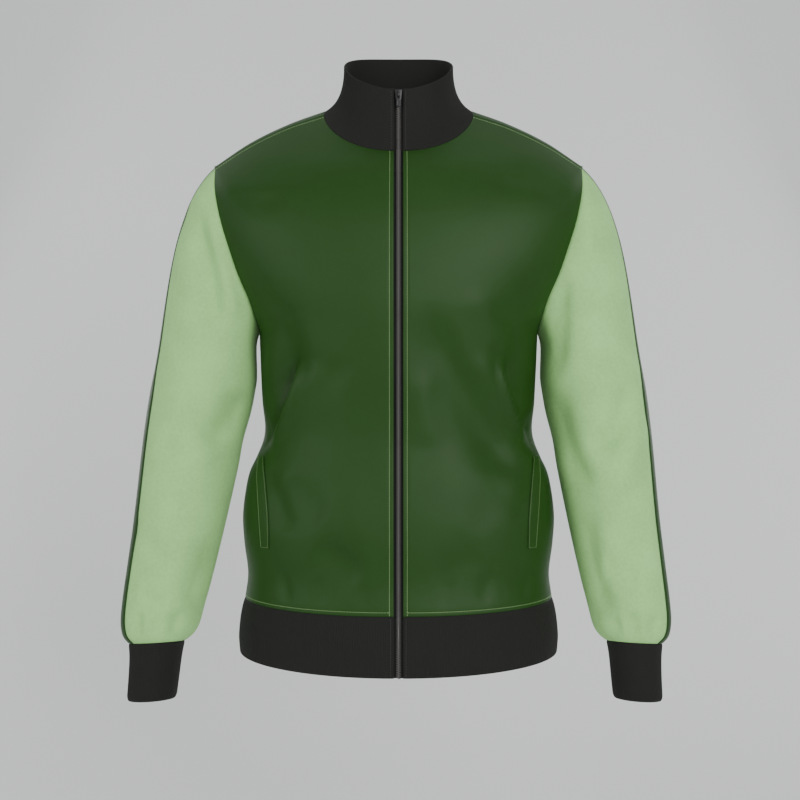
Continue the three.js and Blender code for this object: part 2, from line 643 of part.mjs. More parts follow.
// The chain of teeth ends just below the slider's post
const chainStations = zipCentre.filter(({ point }) => point.z < sliderAt.z - 1);
const chainEnd = sliderAt.clone().addScaledVector(zipUp, SLIDER.height / 2 - SLIDER.post - SEAM_GAP);
chainStations.push({ point: chainEnd, normal: zipTop.normal });
const chainFace = depth => chainStations.map(({ point, normal }) => [-1, 1].map(side =>
  point.clone().setX(side * CHAIN_WIDTH / 2).addScaledVector(normal, -depth)));
addNode('zip_chain', closedWall(chainFace(0), chainFace(CHAIN_DEPTH)), 'chain');

// Boolean joins for the slider and the tab
const wasm = await Module();
wasm.setup();
function toSolid(geometry) {
  const bare = geometry.clone();
  bare.deleteAttribute('normal');
  bare.deleteAttribute('uv');
  const merged = mergeVertices(bare, 1e-4);
  return new wasm.Manifold(new wasm.Mesh({
    numProp: 3, vertProperties: merged.attributes.position.array, triVerts: new Uint32Array(merged.index.array),
  }));
}
function toGeometry(solid) {
  const mesh = solid.getMesh();
  const geometry = new THREE.BufferGeometry();
  geometry.setAttribute('position', new THREE.BufferAttribute(mesh.vertProperties.slice(), 3));
  geometry.setIndex(new THREE.BufferAttribute(mesh.triVerts.slice(), 1));
  return geometry;
}
const block = (x, y, z, width, depth, height) => new THREE.BoxGeometry(width, depth, height).translate(x, y, z);

// A plate with cut corners, drawn across and up, lying from one depth to another
function plate(width, height, from, to, corner) {
  const w = width / 2;
  const h = height / 2;
  const outline = new THREE.Shape([
    [-w + corner, -h], [w - corner, -h], [w, -h + corner], [w, h - corner],
    [w - corner, h], [-w + corner, h], [-w, h - corner], [-w, -h + corner],
  ].map(([x, z]) => new THREE.Vector2(x, z)));
  const slab = new THREE.ExtrudeGeometry(outline, { depth: to - from, bevelEnabled: false });
  return slab.rotateX(Math.PI / 2).translate(0, -from, 0);
}

// In the slider's frame y runs into the cloth, so heights over the cloth are negative
function sliderGeometry() {
  const face = SEAM_GAP;
  const backFace = TAPE_INSET + TAPE_THICKNESS + SLIDER.backGap;
  const frontPlate = toSolid(plate(SLIDER.width, SLIDER.height, face, face + SLIDER.plate, 2));
  const backPlate = toSolid(plate(SLIDER.backWidth, SLIDER.height, -backFace - SLIDER.plate, -backFace, 2));
  const postDepth = face + backFace + SLIDER.plate;
  const post = toSolid(block(0, (backFace - face) / 2, (SLIDER.height - SLIDER.post) / 2,
    SLIDER.post, postDepth, SLIDER.post));
  const plateTop = face + SLIDER.plate;
  const crownOuter = toSolid(block(0, -plateTop - CROWN.rise / 2 + 0.1, 0, CROWN.width, CROWN.rise + 0.2, CROWN.length));
  const crownHole = toSolid(block(0, -plateTop - CROWN.opening / 2, 0,
    CROWN.width * 2, CROWN.opening, CROWN.length - 2 * CROWN.bar));
  return toGeometry(frontPlate.add(backPlate).add(post).add(crownOuter.subtract(crownHole)));
}

// The tab hangs from a bar that passes under the crown; its frame has the bar's axis at z = 0
function tabGeometry() {
  const tab = toSolid(plate(TAB.width, TAB.length, -TAB.thickness / 2, TAB.thickness / 2, 1.2)
    .translate(0, 0, TAB.thickness / 2 - TAB.length / 2));
  const eye = toSolid(block(0, 0, -TAB.thickness / 2 - TAB.eyeLength / 2,
    TAB.eyeWidth, TAB.thickness * 2, TAB.eyeLength));
  return toGeometry(tab.subtract(eye));
}

const slider = addNode('zip_slider', sliderGeometry(), 'chain');
slider.position.copy(sliderAt);
slider.rotation.x = -sliderTurn;

const tab = addNode('zip_pull', tabGeometry(), 'chain');
const tabOut = SEAM_GAP + SLIDER.plate + TAB.axisHeight;
tab.position.copy(sliderAt).add(new THREE.Vector3(0, -tabOut, 0).applyEuler(new THREE.Euler(-sliderTurn, 0, 0)));
tab.rotation.x = -sliderTurn;

export default jacket;
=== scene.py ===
# %% [markdown]
# # A zipped track jacket, filled out as when it is worn
# The jacket hangs in the air in the shape that a wearer gives it. Its cut is a handful of flat
# pieces, and each is built here as a thin shell on the form of its solid, with seams, soft
# folds, stitches and a real zip on top.

# %% Load the model
import math

import bpy
import numpy as np
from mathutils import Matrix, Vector


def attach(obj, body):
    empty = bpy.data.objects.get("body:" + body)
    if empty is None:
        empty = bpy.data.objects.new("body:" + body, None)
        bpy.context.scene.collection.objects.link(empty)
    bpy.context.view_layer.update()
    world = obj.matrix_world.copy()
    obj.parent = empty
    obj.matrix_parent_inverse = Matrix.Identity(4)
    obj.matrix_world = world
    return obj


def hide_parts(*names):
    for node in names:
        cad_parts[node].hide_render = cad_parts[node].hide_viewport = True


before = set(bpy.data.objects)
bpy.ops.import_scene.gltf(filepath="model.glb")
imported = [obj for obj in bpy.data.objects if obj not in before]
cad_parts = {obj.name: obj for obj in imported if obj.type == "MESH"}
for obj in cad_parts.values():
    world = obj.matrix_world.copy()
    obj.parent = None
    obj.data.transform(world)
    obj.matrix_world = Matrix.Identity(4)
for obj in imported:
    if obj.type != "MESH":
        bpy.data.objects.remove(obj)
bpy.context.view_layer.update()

MM = 0.001

# %% [markdown]
# ## Camera and studio
# A garment is photographed from the front at about half its height, with a long lens, so
# that its outline is hardly distorted. The studio is a pale floor that curves up into a wall,
# with large soft lamps. Soft lamps are area lights, because their size is what softens.

# %% Camera
PHOTO_PIXELS = 800
MM_PER_PIXEL = 1.22
CAMERA_DISTANCE = 1500
CAMERA_HEIGHT = -329.4
CAMERA_SIDE = 1.8
SENSOR_WIDTH = 36

half_view = PHOTO_PIXELS * MM_PER_PIXEL / 2
camera_data = bpy.data.cameras.new("front_camera")
camera_data.sensor_width = SENSOR_WIDTH
camera_data.lens = SENSOR_WIDTH / 2 * CAMERA_DISTANCE / half_view
camera = bpy.data.objects.new("front_camera", camera_data)
camera.location = (CAMERA_SIDE * MM, -CAMERA_DISTANCE * MM, CAMERA_HEIGHT * MM)
camera.rotation_euler = (math.pi / 2, 0, 0)
bpy.context.collection.objects.link(camera)
bpy.context.scene.camera = camera
print("lens in mm:", round(camera_data.lens, 1))

# %% Floor and wall in one sweep
FLOOR_HEIGHT = -1.05
WALL_DEPTH = 1.9
SWEEP_RADIUS = 0.9
STUDIO_HALF_WIDTH = 5.0
SWEEP_STEPS = 24
SWEEP_FRONT = -4.0
WALL_TOP = 4.0


def studio_sweep():
    line = [(SWEEP_FRONT, FLOOR_HEIGHT)]
    for step in range(SWEEP_STEPS + 1):
        angle = math.pi / 2 * step / SWEEP_STEPS
        y = WALL_DEPTH - SWEEP_RADIUS + SWEEP_RADIUS * math.sin(angle)
        z = FLOOR_HEIGHT + SWEEP_RADIUS - SWEEP_RADIUS * math.cos(angle)
        line.append((y, z))
    line.append((WALL_DEPTH, WALL_TOP))
    points = [(x, y, z) for y, z in line for x in (-STUDIO_HALF_WIDTH, STUDIO_HALF_WIDTH)]
    faces = [(2 * i, 2 * i + 1, 2 * i + 3, 2 * i + 2) for i in range(len(line) - 1)]
    mesh = bpy.data.meshes.new("studio_sweep")
    mesh.from_pydata(points, [], faces)
    mesh.shade_smooth()
    sweep = bpy.data.objects.new("studio_sweep", mesh)
    bpy.context.collection.objects.link(sweep)
    return sweep


sweep = studio_sweep()

# %% Soft lamps and a pale surrounding


def soft_lamp(name, place, aim, size, power):
    data = bpy.data.lights.new(name, "AREA")
    data.shape = "RECTANGLE"
    data.size, data.size_y = size
    data.energy = power
    lamp = bpy.data.objects.new(name, data)
    lamp.location = place
    lamp.rotation_euler = (Vector(aim) - Vector(place)).to_track_quat("-Z", "Y").to_euler()
    bpy.context.collection.objects.link(lamp)
    return lamp


CHEST = (0, 0, -0.25)
soft_lamp("key_lamp", (1.2, -2.3, 0.5), CHEST, (1.2, 1.5), 52)
soft_lamp("fill_lamp", (-1.9, -1.7, 0.3), CHEST, (1.0, 1.8), 24)
soft_lamp("top_lamp", (0, 0.6, 1.9), CHEST, (2.2, 1.4), 3)
soft_lamp("rim_lamp_left", (1.5, 1.4, 0.4), CHEST, (0.8, 1.8), 9)
soft_lamp("rim_lamp_right", (-1.5, 1.4, 0.4), CHEST, (0.8, 1.8), 9)

world = bpy.data.worlds.new("pale_studio")
world.use_nodes = True
world.node_tree.nodes["Background"].inputs["Color"].default_value = (0.86, 0.88, 0.87, 1)
world.node_tree.nodes["Background"].inputs["Strength"].default_value = 0.55
bpy.context.scene.world = world

# %% [markdown]
# ## The cut, as short tables
# A flat pattern can't be bent onto a body by eye, so each half front and half back is
# described by a few lines across it, from the middle out to its edge. Between the lines the
# values follow a smooth curve. The same tables shape the solids, so that the shells lie on
# them. All sizes are in millimetres here and become metres when a mesh is made.

# %% Tables and smooth curves through them


def table(columns, rows):
    """Named columns as arrays, from one labelled row for each section of the garment."""
    values = np.array(list(rows.values()), float)
    return {name: values[:, i] for i, name in enumerate(columns.split())}


def smooth(values, position, first=0, last=None):
    """A smooth curve through a column, which starts anew at the rows first and last."""
    last = len(values) - 1 if last is None else last
    position = np.asarray(position, float)
    start = np.clip(np.floor(position).astype(int), first, last - 1)
    share = position - start
    here = values[start]
    after_here = values[start + 1]
    before = np.where(start > first, values[np.maximum(start - 1, 0)], 2 * here - after_here)
    beyond = values[np.minimum(start + 2, len(values) - 1)]
    after = np.where(start + 1 < last, beyond, 2 * after_here - here)
    bend = 2 * before - 5 * here + 4 * after_here - after
    twist = 3 * (here - after_here) + after - before
    return here + 0.5 * share * (after_here - before + share * (bend + share * twist))


BODY_COLUMNS = "centreY centreZ outerX outerY outerZ reach wrap turn fall"
FRONT_ROWS = table(BODY_COLUMNS, {
    "hem seam": [-125, -572, 186, -2, -567, 0.62, 70, 90, 0],
    "tuck": [-121, -538, 182.5, -2, -537, 0.62, 68, 90, 0],
    "low blouse": [-124, -502, 187, -2, -500, 0.62, 70, 90, 0],
    "blouse": [-124, -466, 188.5, -2, -464, 0.62, 70, 90, 0],
    "high blouse": [-120, -423, 182, -2, -421, 0.62, 66, 90, 0],
    "waist side": [-117, -397, 171.5, -2, -396, 0.62, 62, 90, 0],
    "pinch": [-115, -369, 163, -2, -368, 0.64, 60, 90, 0],
    "ribs": [-118, -330, 165.5, -2, -329, 0.64, 62, 90, 0],
    "lower chest": [-123, -292, 167, -2, -292, 0.64, 64, 90, 0],
    "underarm": [-127, -250, 168.5, -2, -250, 0.64, 66, 90, 0],
    "armhole low": [-128, -231, 170.5, -37, -234, 0.64, 38, 72, 0],
    "armhole dip": [-128, -208, 176.5, -52, -211, 0.64, 34, 62, -2],
    "armhole notch": [-126, -180, 188, -60, -183, 0.62, 36, 54, -4],
    "armhole chest": [-122, -152, 198, -61, -154, 0.62, 40, 50, -6],
    "armhole front": [-115, -120, 210, -54, -117, 0.6, 44, 50, -10],
    "armhole high": [-105, -92, 219, -37, -79, 0.58, 48, 56, -18],
    "shoulder tip": [-95, -71, 222, -14, -49, 0.56, 46, 66, -30],
    "shoulder middle": [-85, -57, 180, -12, -21.5, 0.56, 42, 74, -34],
    "shoulder inner": [-75, -46, 135, -8, 1, 0.56, 38, 78, -38],
    "neckline": [-66, -38, 91, -4, 16.5, 0.6, 34, 82, -38],
})
BACK_ROWS = table(BODY_COLUMNS, {
    "hem seam": [112, -565, 186, -2, -567, 0.62, 66, -90, 0],
    "tuck": [109, -537, 182.5, -2, -537, 0.62, 64, -90, 0],
    "low blouse": [112, -500, 187, -2, -500, 0.62, 66, -90, 0],
    "blouse": [110, -464, 188.5, -2, -464, 0.62, 66, -90, 0],
    "high blouse": [104, -421, 182, -2, -421, 0.62, 62, -90, 0],
    "waist side": [99, -396, 171.5, -2, -396, 0.62, 58, -90, 0],
    "pinch": [95, -368, 163, -2, -368, 0.64, 56, -90, 0],
    "ribs": [98, -329, 165.5, -2, -329, 0.64, 58, -90, 0],
    "lower chest": [104, -292, 167, -2, -292, 0.64, 62, -90, 0],
    "underarm": [111, -250, 168.5, -2, -250, 0.64, 64, -90, 0],
    "armhole low": [114, -232, 171.5, 31, -235, 0.64, 40, -72, 0],
    "armhole dip": [116, -208, 179, 48, -212, 0.64, 38, -62, -2],
    "armhole notch": [118, -180, 190, 59, -184, 0.62, 40, -54, -4],
    "armhole blade": [119, -148, 200, 62, -154, 0.62, 44, -50, -8],
    "armhole back": [117, -110, 211, 55, -117, 0.6, 48, -52, -12],
    "armhole high": [112, -76, 220, 34, -76, 0.58, 54, -62, -10],
    "shoulder ridge": [107, -52, 222.5, 9, -46, 0.56, 54, -86, 2],
    "shoulder tip": [103, -37, 222, -14, -49, 0.56, 54, -100, 26],
    "shoulder middle": [93, -11, 180, -12, -21.5, 0.56, 54, -104, 28],
    "shoulder inner": [82, 12, 135, -8, 1, 0.56, 50, -102, 30],
    "neckline": [70, 29, 91, -4, 16.5, 0.6, 40, -98, 38],
})
FRONT_BREAKS = {"underarm": 9, "tip": 16, "neck": 19}
BACK_BREAKS = {"underarm": 9, "ridge": 16, "tip": 17, "neck": 20}
print("rows across a front:", len(FRONT_ROWS["centreY"]))

# %% Sleeve and cuff rings
SLEEVE_RINGS = table("x y z halfWidth halfDepth lean swing sway stripeFront stripeBack", {
    "upper arm": [235, 2, -300, 62, 65, 11, 0, 0, 26, 2],
    "above elbow": [240.5, 0, -331, 62, 64, 11, 2, 0.3, 32, 7],
    "elbow": [247.4, -2, -366, 59.8, 62, 11, 4, 0.8, 34, 9],
    "below elbow": [252, -6, -402, 58.6, 60, 10, 7, 1.2, 34, 8],
    "forearm": [262, -15, -474, 54.3, 55, 9, 8, 2, 35, 8],
    "lower forearm": [271.6, -22, -533, 51, 51, 8, 8, 2.5, 36, 7],
    "over cuff": [277.6, -28, -568, 48.6, 49, 6, 8, 2.8, 37, 6],
    "blouse edge": [281.6, -31, -594, 46.4, 47, 3, 8, 3, 38, 5],
    "turn in": [283.6, -33, -609, 41.5, 42, -1, 8, 3.2, 40, 4],
    "cuff seam": [284.6, -34, -618, 33, 34.5, -3, 8, 3.4, 46, 2],
})
CUFF_RINGS = table("x y z halfWidth halfDepth lean swing sway", {
    "cuff seam": [284.6, -34, -618, 33, 34.5, -3, 8, 3.4],
    "cuff upper": [285.4, -35, -634, 31, 32.4, -3, 7, 3.6],
    "cuff middle": [286.8, -36, -656, 30, 31.4, -3, 6, 4],
    "cuff end": [289, -38, -685, 29.2, 30.4, -3, 5, 4.4],
})
CAP_TOP_HEADING = np.array([0.76, 0, -0.65])
CAP_UNDER_HEADING = np.array([0.5, 0, -0.87])
CAP_BULGE = 0.3
CAP_START_PULL = 0.85
CAP_END_PULL = 0.95

# %% [markdown]
# ## From tables to grids of points
# A panel is a grid: rows run up the garment and columns run across it. Extra rows and columns
# lie close to each sewn edge, so that a seam can sink between two panels without making the
# whole mesh finer.

# %% Rows and columns of the body panels
ZIP_OPENING = 10.4
SEAM_STEPS = [0, 0.3, 0.9, 1.9, 3.2, 4.4, 5.6]
ZIP_STEPS = [0, 0.3, 0.9, 1.9, 3.2, 4.0, 4.8, 5.6, 7.0, 9.0]
SIDE_STEPS = 6
ARMHOLE_STEPS = 5
SHOULDER_STEPS = 8
HALF_COLUMNS = 46
HEM_ROW_LENGTH = 34
NECK_ROW_LENGTH = 44


def body_positions(breaks):
    """Positions in a body table: finer stretches near the hem seam and the neckline."""
    side = np.arange(0, breaks["underarm"], 1 / SIDE_STEPS)
    armhole = np.arange(breaks["underarm"], breaks["tip"], 1 / ARMHOLE_STEPS)
    shoulder = np.arange(breaks["tip"], breaks["neck"] + 1e-9, 1 / SHOULDER_STEPS)
    near_hem = np.array(SEAM_STEPS[1:]) / HEM_ROW_LENGTH
    near_neck = breaks["neck"] - np.array(SEAM_STEPS[1:]) / NECK_ROW_LENGTH
    near_tip = breaks["tip"] + np.array(SEAM_STEPS[1:]) / NECK_ROW_LENGTH
    parts = [side, armhole, shoulder, near_hem, near_neck, near_tip]
    return np.unique(np.round(np.concatenate(parts), 5))


def body_half(rows, breaks, positions, centre_x, centre_steps):
    """Half a body panel, from the centre line to its outer edge: rows by columns by xyz."""
    stops = [0, breaks["underarm"], breaks["tip"], breaks["neck"]]
    spans = list(zip(stops, stops[1:]))
    which = np.searchsorted([breaks["underarm"], breaks["tip"]], positions)

    def outer(column):
        parts = [smooth(rows[column], np.clip(positions, *span), *span) for span in spans]
        return np.choose(which, parts)

    start = np.stack([np.full(len(positions), centre_x), smooth(rows["centreY"], positions),
                      smooth(rows["centreZ"], positions)], 1)
    end = np.stack([outer("outerX"), outer("outerY"), outer("outerZ")], 1)
    turn, fall = np.radians(outer("turn")), np.radians(outer("fall"))
    heading = np.stack([np.cos(turn) * np.cos(fall), np.sin(turn) * np.cos(fall), -np.sin(fall)], 1)
    pull = smooth(rows["reach"], positions) * end[:, 0]
    wrap = outer("wrap")
    second = start + pull[:, None] * [1, 0, 0]
    third = end - wrap[:, None] * heading
    near_centre = [step / (3 * pull) for step in centre_steps]
    near_edge = [1 - step / (3 * wrap) for step in reversed(SEAM_STEPS)]
    low, high = near_centre[-1], near_edge[0]
    middle = [low + (high - low) * i / HALF_COLUMNS for i in range(1, HALF_COLUMNS)]
    t = np.stack(near_centre + middle + near_edge, 1)[..., None]
    s = 1 - t
    return (s ** 3 * start[:, None] + 3 * s * s * t * second[:, None]
            + 3 * s * t * t * third[:, None] + t ** 3 * end[:, None])


MIRROR = np.array([-1, 1, 1])
front_positions = body_positions(FRONT_BREAKS)
back_positions = body_positions(BACK_BREAKS)
front_half = body_half(FRONT_ROWS, FRONT_BREAKS, front_positions, ZIP_OPENING / 2, ZIP_STEPS)
back_half = body_half(BACK_ROWS, BACK_BREAKS, back_positions, 0, [0])
grids = {
    "front_left": front_half,
    "front_right": front_half * MIRROR,
    "back": np.concatenate([back_half[:, :0:-1] * MIRROR, back_half], 1),
}
for name, grid in grids.items():
    print(name, "grid", grid.shape[:2])

# %% [markdown]
# ## Seams and folds
# Two panels that meet share the normals along their seam, so their edges turn the same way
# and no gap opens between them. Each edge sinks a little at the seam, as stitched cloth does.
# The folds are listed one by one: a fold is a line with a bow, a width and a depth, it fades at
# its ends, and one of its sides is steeper, as where cloth hangs from a pull. No two are alike.
# The main ones are in the solids too.

# %% Folds of the body and the sleeves
BODY_FOLDS = table("side x1 z1 x2 z2 width depth", {
    "waist front right": [-1, -163, -376, -122, -286, 15, -6],
    "waist front left": [-1, 163, -374, 120, -282, 15, -6],
    "ridge front right": [-1, -150, -350, -96, -300, 16, 3],
    "ridge front left": [-1, 150, -350, 98, -296, 16, 3],
    "waist back right": [1, -160, -372, -104, -300, 17, -6],
    "waist back left": [1, 160, -374, 98, -308, 17, -6],
    "hollow back": [1, -70, -380, 70, -376, 26, -5],
})
FOLD_COLUMNS = "side x1 z1 x2 z2 bow width depth"
FINE_FOLDS = table(FOLD_COLUMNS, {
    "crest right": [-1, -150, -380, -118, -284, 8, 6.5, 5.6],
    "beside crest right": [-1, -160, -376, -130, -282, 8, 8, -4.4],
    "crest left": [-1, 150, -374, 116, -282, -8, 6.5, 5.4],
    "beside crest left": [-1, 160, -370, 128, -278, -8, 8, -4.2],
    "above crest right": [-1, -146, -330, -126, -240, 0, 17, -5.4],
    "above crest left": [-1, 152, -336, 130, -246, 0, 15, -4.0],
    "chest trough left": [-1, 28, -232, 140, -424, 4, 30, -7.4],
    "chest crest left": [-1, 76, -206, 128, -290, -6, 22, 2.4],
    "zip swell left": [-1, 30, -300, 38, -382, 6, 20, 2.0],
    "under chest right": [-1, -128, -262, -56, -304, 8, 24, -2.8],
    "belly right": [-1, -136, -424, -84, -462, -3, 30, -3.0],
    "belly swell right": [-1, -60, -420, -40, -500, 6, 30, 1.6],
    "belly left": [-1, 136, -440, 84, -476, 8, 24, -1.4],
    "low hollow right": [-1, -92, -496, -44, -532, -6, 22, -4.6],
    "low hollow left": [-1, 96, -508, 44, -536, 6, 22, -2.0],
    "side hollow right": [-1, -150, -410, -122, -480, 5, 18, -3.6],
    "side hollow left": [-1, 158, -408, 136, -466, -5, 14, -2.2],
    "shoulder drag right": [-1, -196, -84, -128, -96, 8, 16, -1.6],
    "shoulder drag left": [-1, 200, -92, 120, -76, 6, 24, -1.3],
    "armhole drag right": [-1, -164, -190, -118, -238, 4, 12, -2.0],
    "armhole drag left": [-1, 160, -196, 116, -246, -4, 16, -1.6],
    "hem tuck one": [-1, -132, -524, -124, -562, 1, 8, -1.6],
    "hem tuck two": [-1, -92, -532, -86, -562, 1, 7, -1.2],
    "hem tuck three": [-1, -38, -536, -36, -564, 1, 8, -1.1],
    "hem tuck four": [-1, 58, -534, 54, -564, 1, 8, -1.3],
    "hem tuck five": [-1, 104, -526, 98, -562, 1, 9, -1.6],
    "hem tuck six": [-1, 150, -530, 146, -562, 1, 8, -1.4],
    "blade right": [1, -130, -146, -88, -236, 10, 19, -4.6],
    "blade left": [1, 132, -142, 82, -226, -9, 18, -4.4],
    "back drag right": [1, -162, -204, -116, -268, 6, 13, -4.2],
    "back drag left": [1, 164, -200, 122, -260, -5, 12, -4.0],
    "crest back right": [1, -152, -380, -104, -286, 9, 7, 5.0],
    "crest back left": [1, 151, -384, 96, -296, -8, 7, 5.2],
    "back trough": [1, -60, -240, 70, -356, 14, 26, -6.0],
    "back blouse right": [1, -128, -462, -62, -520, 8, 20, -4.8],
    "back blouse left": [1, 118, -456, 66, -524, -9, 19, -4.6],
    "back swell": [1, -24, -440, 20, -520, 8, 28, 1.8],
    "back tuck one": [1, -140, -530, -134, -560, 1, 8, -1.5],
    "back tuck two": [1, -88, -534, -82, -560, 1, 8, -1.3],
    "back tuck three": [1, -20, -532, -24, -560, 1, 9, -1.4],
    "back tuck four": [1, 44, -528, 52, -560, 1, 8, -1.5],
    "back tuck five": [1, 110, -532, 104, -560, 1, 8, -1.4],
})
SLEEVE_FOLDS = table(FOLD_COLUMNS, {
    "head trough right": [-1, -246, -100, -212, -250, -8, 14, -5.0],
    "head ridge right": [-1, -220, -120, -192, -236, -6, 12, 2.2],
    "head ridge left": [-1, 220, -76, 226, -168, 4, 15, 2.2],
    "inner trough left": [-1, 188, -176, 186, -300, -4, 13, -2.6],
    "elbow outer right": [-1, -286, -392, -250, -350, 6, 14, -2.4],
    "elbow inner right": [-1, -184, -318, -222, -384, -7, 15, -4.0],
    "elbow ridge right": [-1, -258, -326, -222, -420, 9, 17, 2.2],
    "elbow inner left": [-1, 190, -322, 226, -440, 10, 17, -3.8],
    "elbow trough left": [-1, 276, -306, 232, -392, -9, 13, -4.2],
    "elbow ridge left": [-1, 284, -348, 246, -430, -8, 15, 2.6],
    "forearm outer right": [-1, -296, -462, -270, -536, 5, 14, -1.5],
    "forearm inner right": [-1, -212, -500, -246, -566, -6, 15, -3.0],
    "forearm outer left": [-1, 290, -460, 262, -526, -5, 14, -1.4],
    "forearm inner left": [-1, 222, -462, 246, -580, 8, 15, -2.8],
    "low hollow left": [-1, 240, -520, 282, -534, 4, 13, -2.8],
    "low hollow right": [-1, -300, -554, -268, -566, 3, 11, -2.2],
    "cuff tuck one": [-1, -302, -574, -300, -612, 1, 7, -2.2],
    "cuff tuck two": [-1, -276, -580, -280, -614, 1, 7, -2.0],
    "cuff tuck three": [-1, -254, -576, -264, -614, 1, 8, -2.2],
    "cuff tuck four": [-1, 300, -578, 298, -614, 1, 7, -2.0],
    "cuff tuck five": [-1, 272, -574, 276, -614, 1, 8, -2.4],
    "cuff tuck six": [-1, 250, -580, 260, -614, 1, 7, -1.8],
    "back head right": [1, -240, -112, -214, -246, 8, 14, -4.2],
    "back head left": [1, 238, -108, 210, -238, -9, 14, -4.0],
    "back elbow right": [1, -286, -340, -226, -388, -8, 14, -4.4],
    "back elbow left": [1, 282, -336, 222, -382, 8, 14, -4.2],
    "back elbow low right": [1, -290, -398, -236, -440, -7, 13, -3.4],
    "back elbow low left": [1, 288, -392, 230, -436, 7, 14, -3.6],
    "back forearm right": [1, -300, -480, -262, -548, 6, 15, -2.8],
    "back forearm left": [1, 298, -474, 258, -540, -6, 15, -2.6],
    "back tuck one": [1, -296, -576, -292, -614, 1, 7, -2.0],
    "back tuck two": [1, -262, -578, -270, -614, 1, 8, -2.2],
    "back tuck three": [1, 290, -578, 288, -614, 1, 7, -2.0],
    "back tuck four": [1, 258, -576, 266, -614, 1, 8, -2.0],
})
STEEP_SIDE = 0.62
FINE_SHARE = 1.35
SLEEVE_SHARE = 2.3
SLEEVE_WIDEN = 1.3
FADE_SHARE = 0.3
SIDE_BLEND = 30
SEWN_BLEND = 25


def main_fold_depth(points):
    """The folds that the solids have too: even troughs and ridges with round ends."""
    depth = np.zeros(points.shape[:-1])
    for side, x1, z1, x2, z2, width, fold in zip(*BODY_FOLDS.values()):
        line = np.array([x2 - x1, z2 - z1])
        offset = points[..., [0, 2]] - [x1, z1]
        along = np.clip(offset @ line / (line @ line), 0, 1)
        offset = offset - along[..., None] * line
        on_side = np.clip(side * points[..., 1] / SIDE_BLEND, 0, 1)
        depth += fold * on_side * np.exp(-(offset ** 2).sum(-1) / width ** 2)
    return depth


def fold_depth(points, folds, middle_y, widen=1):
    """How far each point moves out of the cloth, from the bowed fold lines on its own side."""
    depth = np.zeros(points.shape[:-1])
    for side, x1, z1, x2, z2, bow, width, fold in zip(*folds.values()):
        line = np.array([x2 - x1, z2 - z1])
        length = np.linalg.norm(line)
        offset = points[..., [0, 2]] - [x1, z1]
        along = offset @ line / length ** 2
        off = (offset[..., 0] * line[1] - offset[..., 1] * line[0]) / length
        off = off - bow * 4 * along * (1 - along)
        off = np.where(off > 0, off, off / STEEP_SIDE)
        fade = np.clip(np.minimum(along, 1 - along) / FADE_SHARE + 0.25, 0, 1)
        fade = fade * fade * (3 - 2 * fade)
        on_side = np.clip(side * (points[..., 1] - middle_y) / SIDE_BLEND, 0, 1)
        depth += fold * on_side * fade * np.exp(-(off / (width * widen)) ** 2)
    return depth


# %% Grids of the sleeves
CAP_RINGS = 26
RING_STEPS = 6
CAP_SEAM_LENGTH = 150
CUFF_SEAM_SHARES = [0.35, 0.16, 0.07, 0]


def hermite(start, end, start_pull, end_pull, share):
    square, cube = share ** 2, share ** 3
    return (start * (2 * cube - 3 * square + 1) + start_pull * (cube - 2 * square + share)
            + end * (3 * square - 2 * cube) + end_pull * (cube - square))


def ring_points(ring, angles, side):
    """Points of one ring: angle 0 is the outermost line, and a quarter turn is the front."""
    lean, swing = np.radians(ring["lean"]), np.radians(ring["swing"])
    outwards = ring["halfWidth"] * np.cos(angles)
    forwards = ring["halfDepth"] * np.sin(angles)
    x = side * (ring["x"] + outwards * np.cos(lean)) - ring["sway"]
    y = ring["y"] - forwards * np.cos(swing)
    z = ring["z"] + outwards * np.sin(lean) + forwards * np.sin(swing)
    return np.stack([x, y, z], 1)


def ring_at(rings, position):
    return {name: float(smooth(values, position)) for name, values in rings.items()}


def cap_heading(angles, side):
    """The way that the sleeve head leaves the armhole: outwards on top, downwards below."""
    under = ((1 - np.cos(angles)) / 2)[:, None]
    heading = CAP_TOP_HEADING * (1 - under) + CAP_UNDER_HEADING * under
    heading[:, 1] -= CAP_BULGE * np.sin(angles)
    heading[:, 0] *= side
    return heading / np.linalg.norm(heading, axis=1)[:, None]


def sleeve_grid(armhole, angle_from, angle_to, side):
    """A sleeve panel, from its armhole edge down to the cuff seam."""
    lengths = np.linalg.norm(np.diff(armhole, axis=0), axis=1)
    shares = np.concatenate([[0], np.cumsum(lengths)]) / lengths.sum()

    def angles_of(ring):
        start, end = (ring.get(edge, edge) for edge in (angle_from, angle_to))
        return np.radians(start + (end - start) * shares)

    first, second = ring_at(SLEEVE_RINGS, 0), ring_at(SLEEVE_RINGS, 1)
    axis = np.array([side, 1, 1]) * [second[name] - first[name] for name in "xyz"]
    axis /= np.linalg.norm(axis)
    angles = angles_of(first)
    end = ring_points(first, angles, side)
    chord = np.linalg.norm(end - armhole, axis=1)[:, None]
    start_pull = cap_heading(angles, side) * chord * CAP_START_PULL
    cap_shares = np.concatenate([np.array(SEAM_STEPS) / CAP_SEAM_LENGTH,
                                 np.linspace(0.06, 1, CAP_RINGS)[:-1]])
    cap = [hermite(armhole, end, start_pull, axis * chord * CAP_END_PULL, share) for share in cap_shares]
    last = len(SLEEVE_RINGS["x"]) - 1
    positions = np.arange(0, last - 0.4, 1 / RING_STEPS)
    rings = [ring_at(SLEEVE_RINGS, position) for position in positions]
    rings += [ring_at(SLEEVE_RINGS, last - share) for share in CUFF_SEAM_SHARES]
    lower = [ring_points(ring, angles_of(ring), side) for ring in rings]
    return np.array(cap + lower)


def armhole_edge(edge, positions, low, high):
    """Points of an armhole from the shoulder downwards, between two positions of the table."""
    chosen = (positions > low - 1e-4) & (positions < high + 1e-4)
    return edge[chosen][::-1]


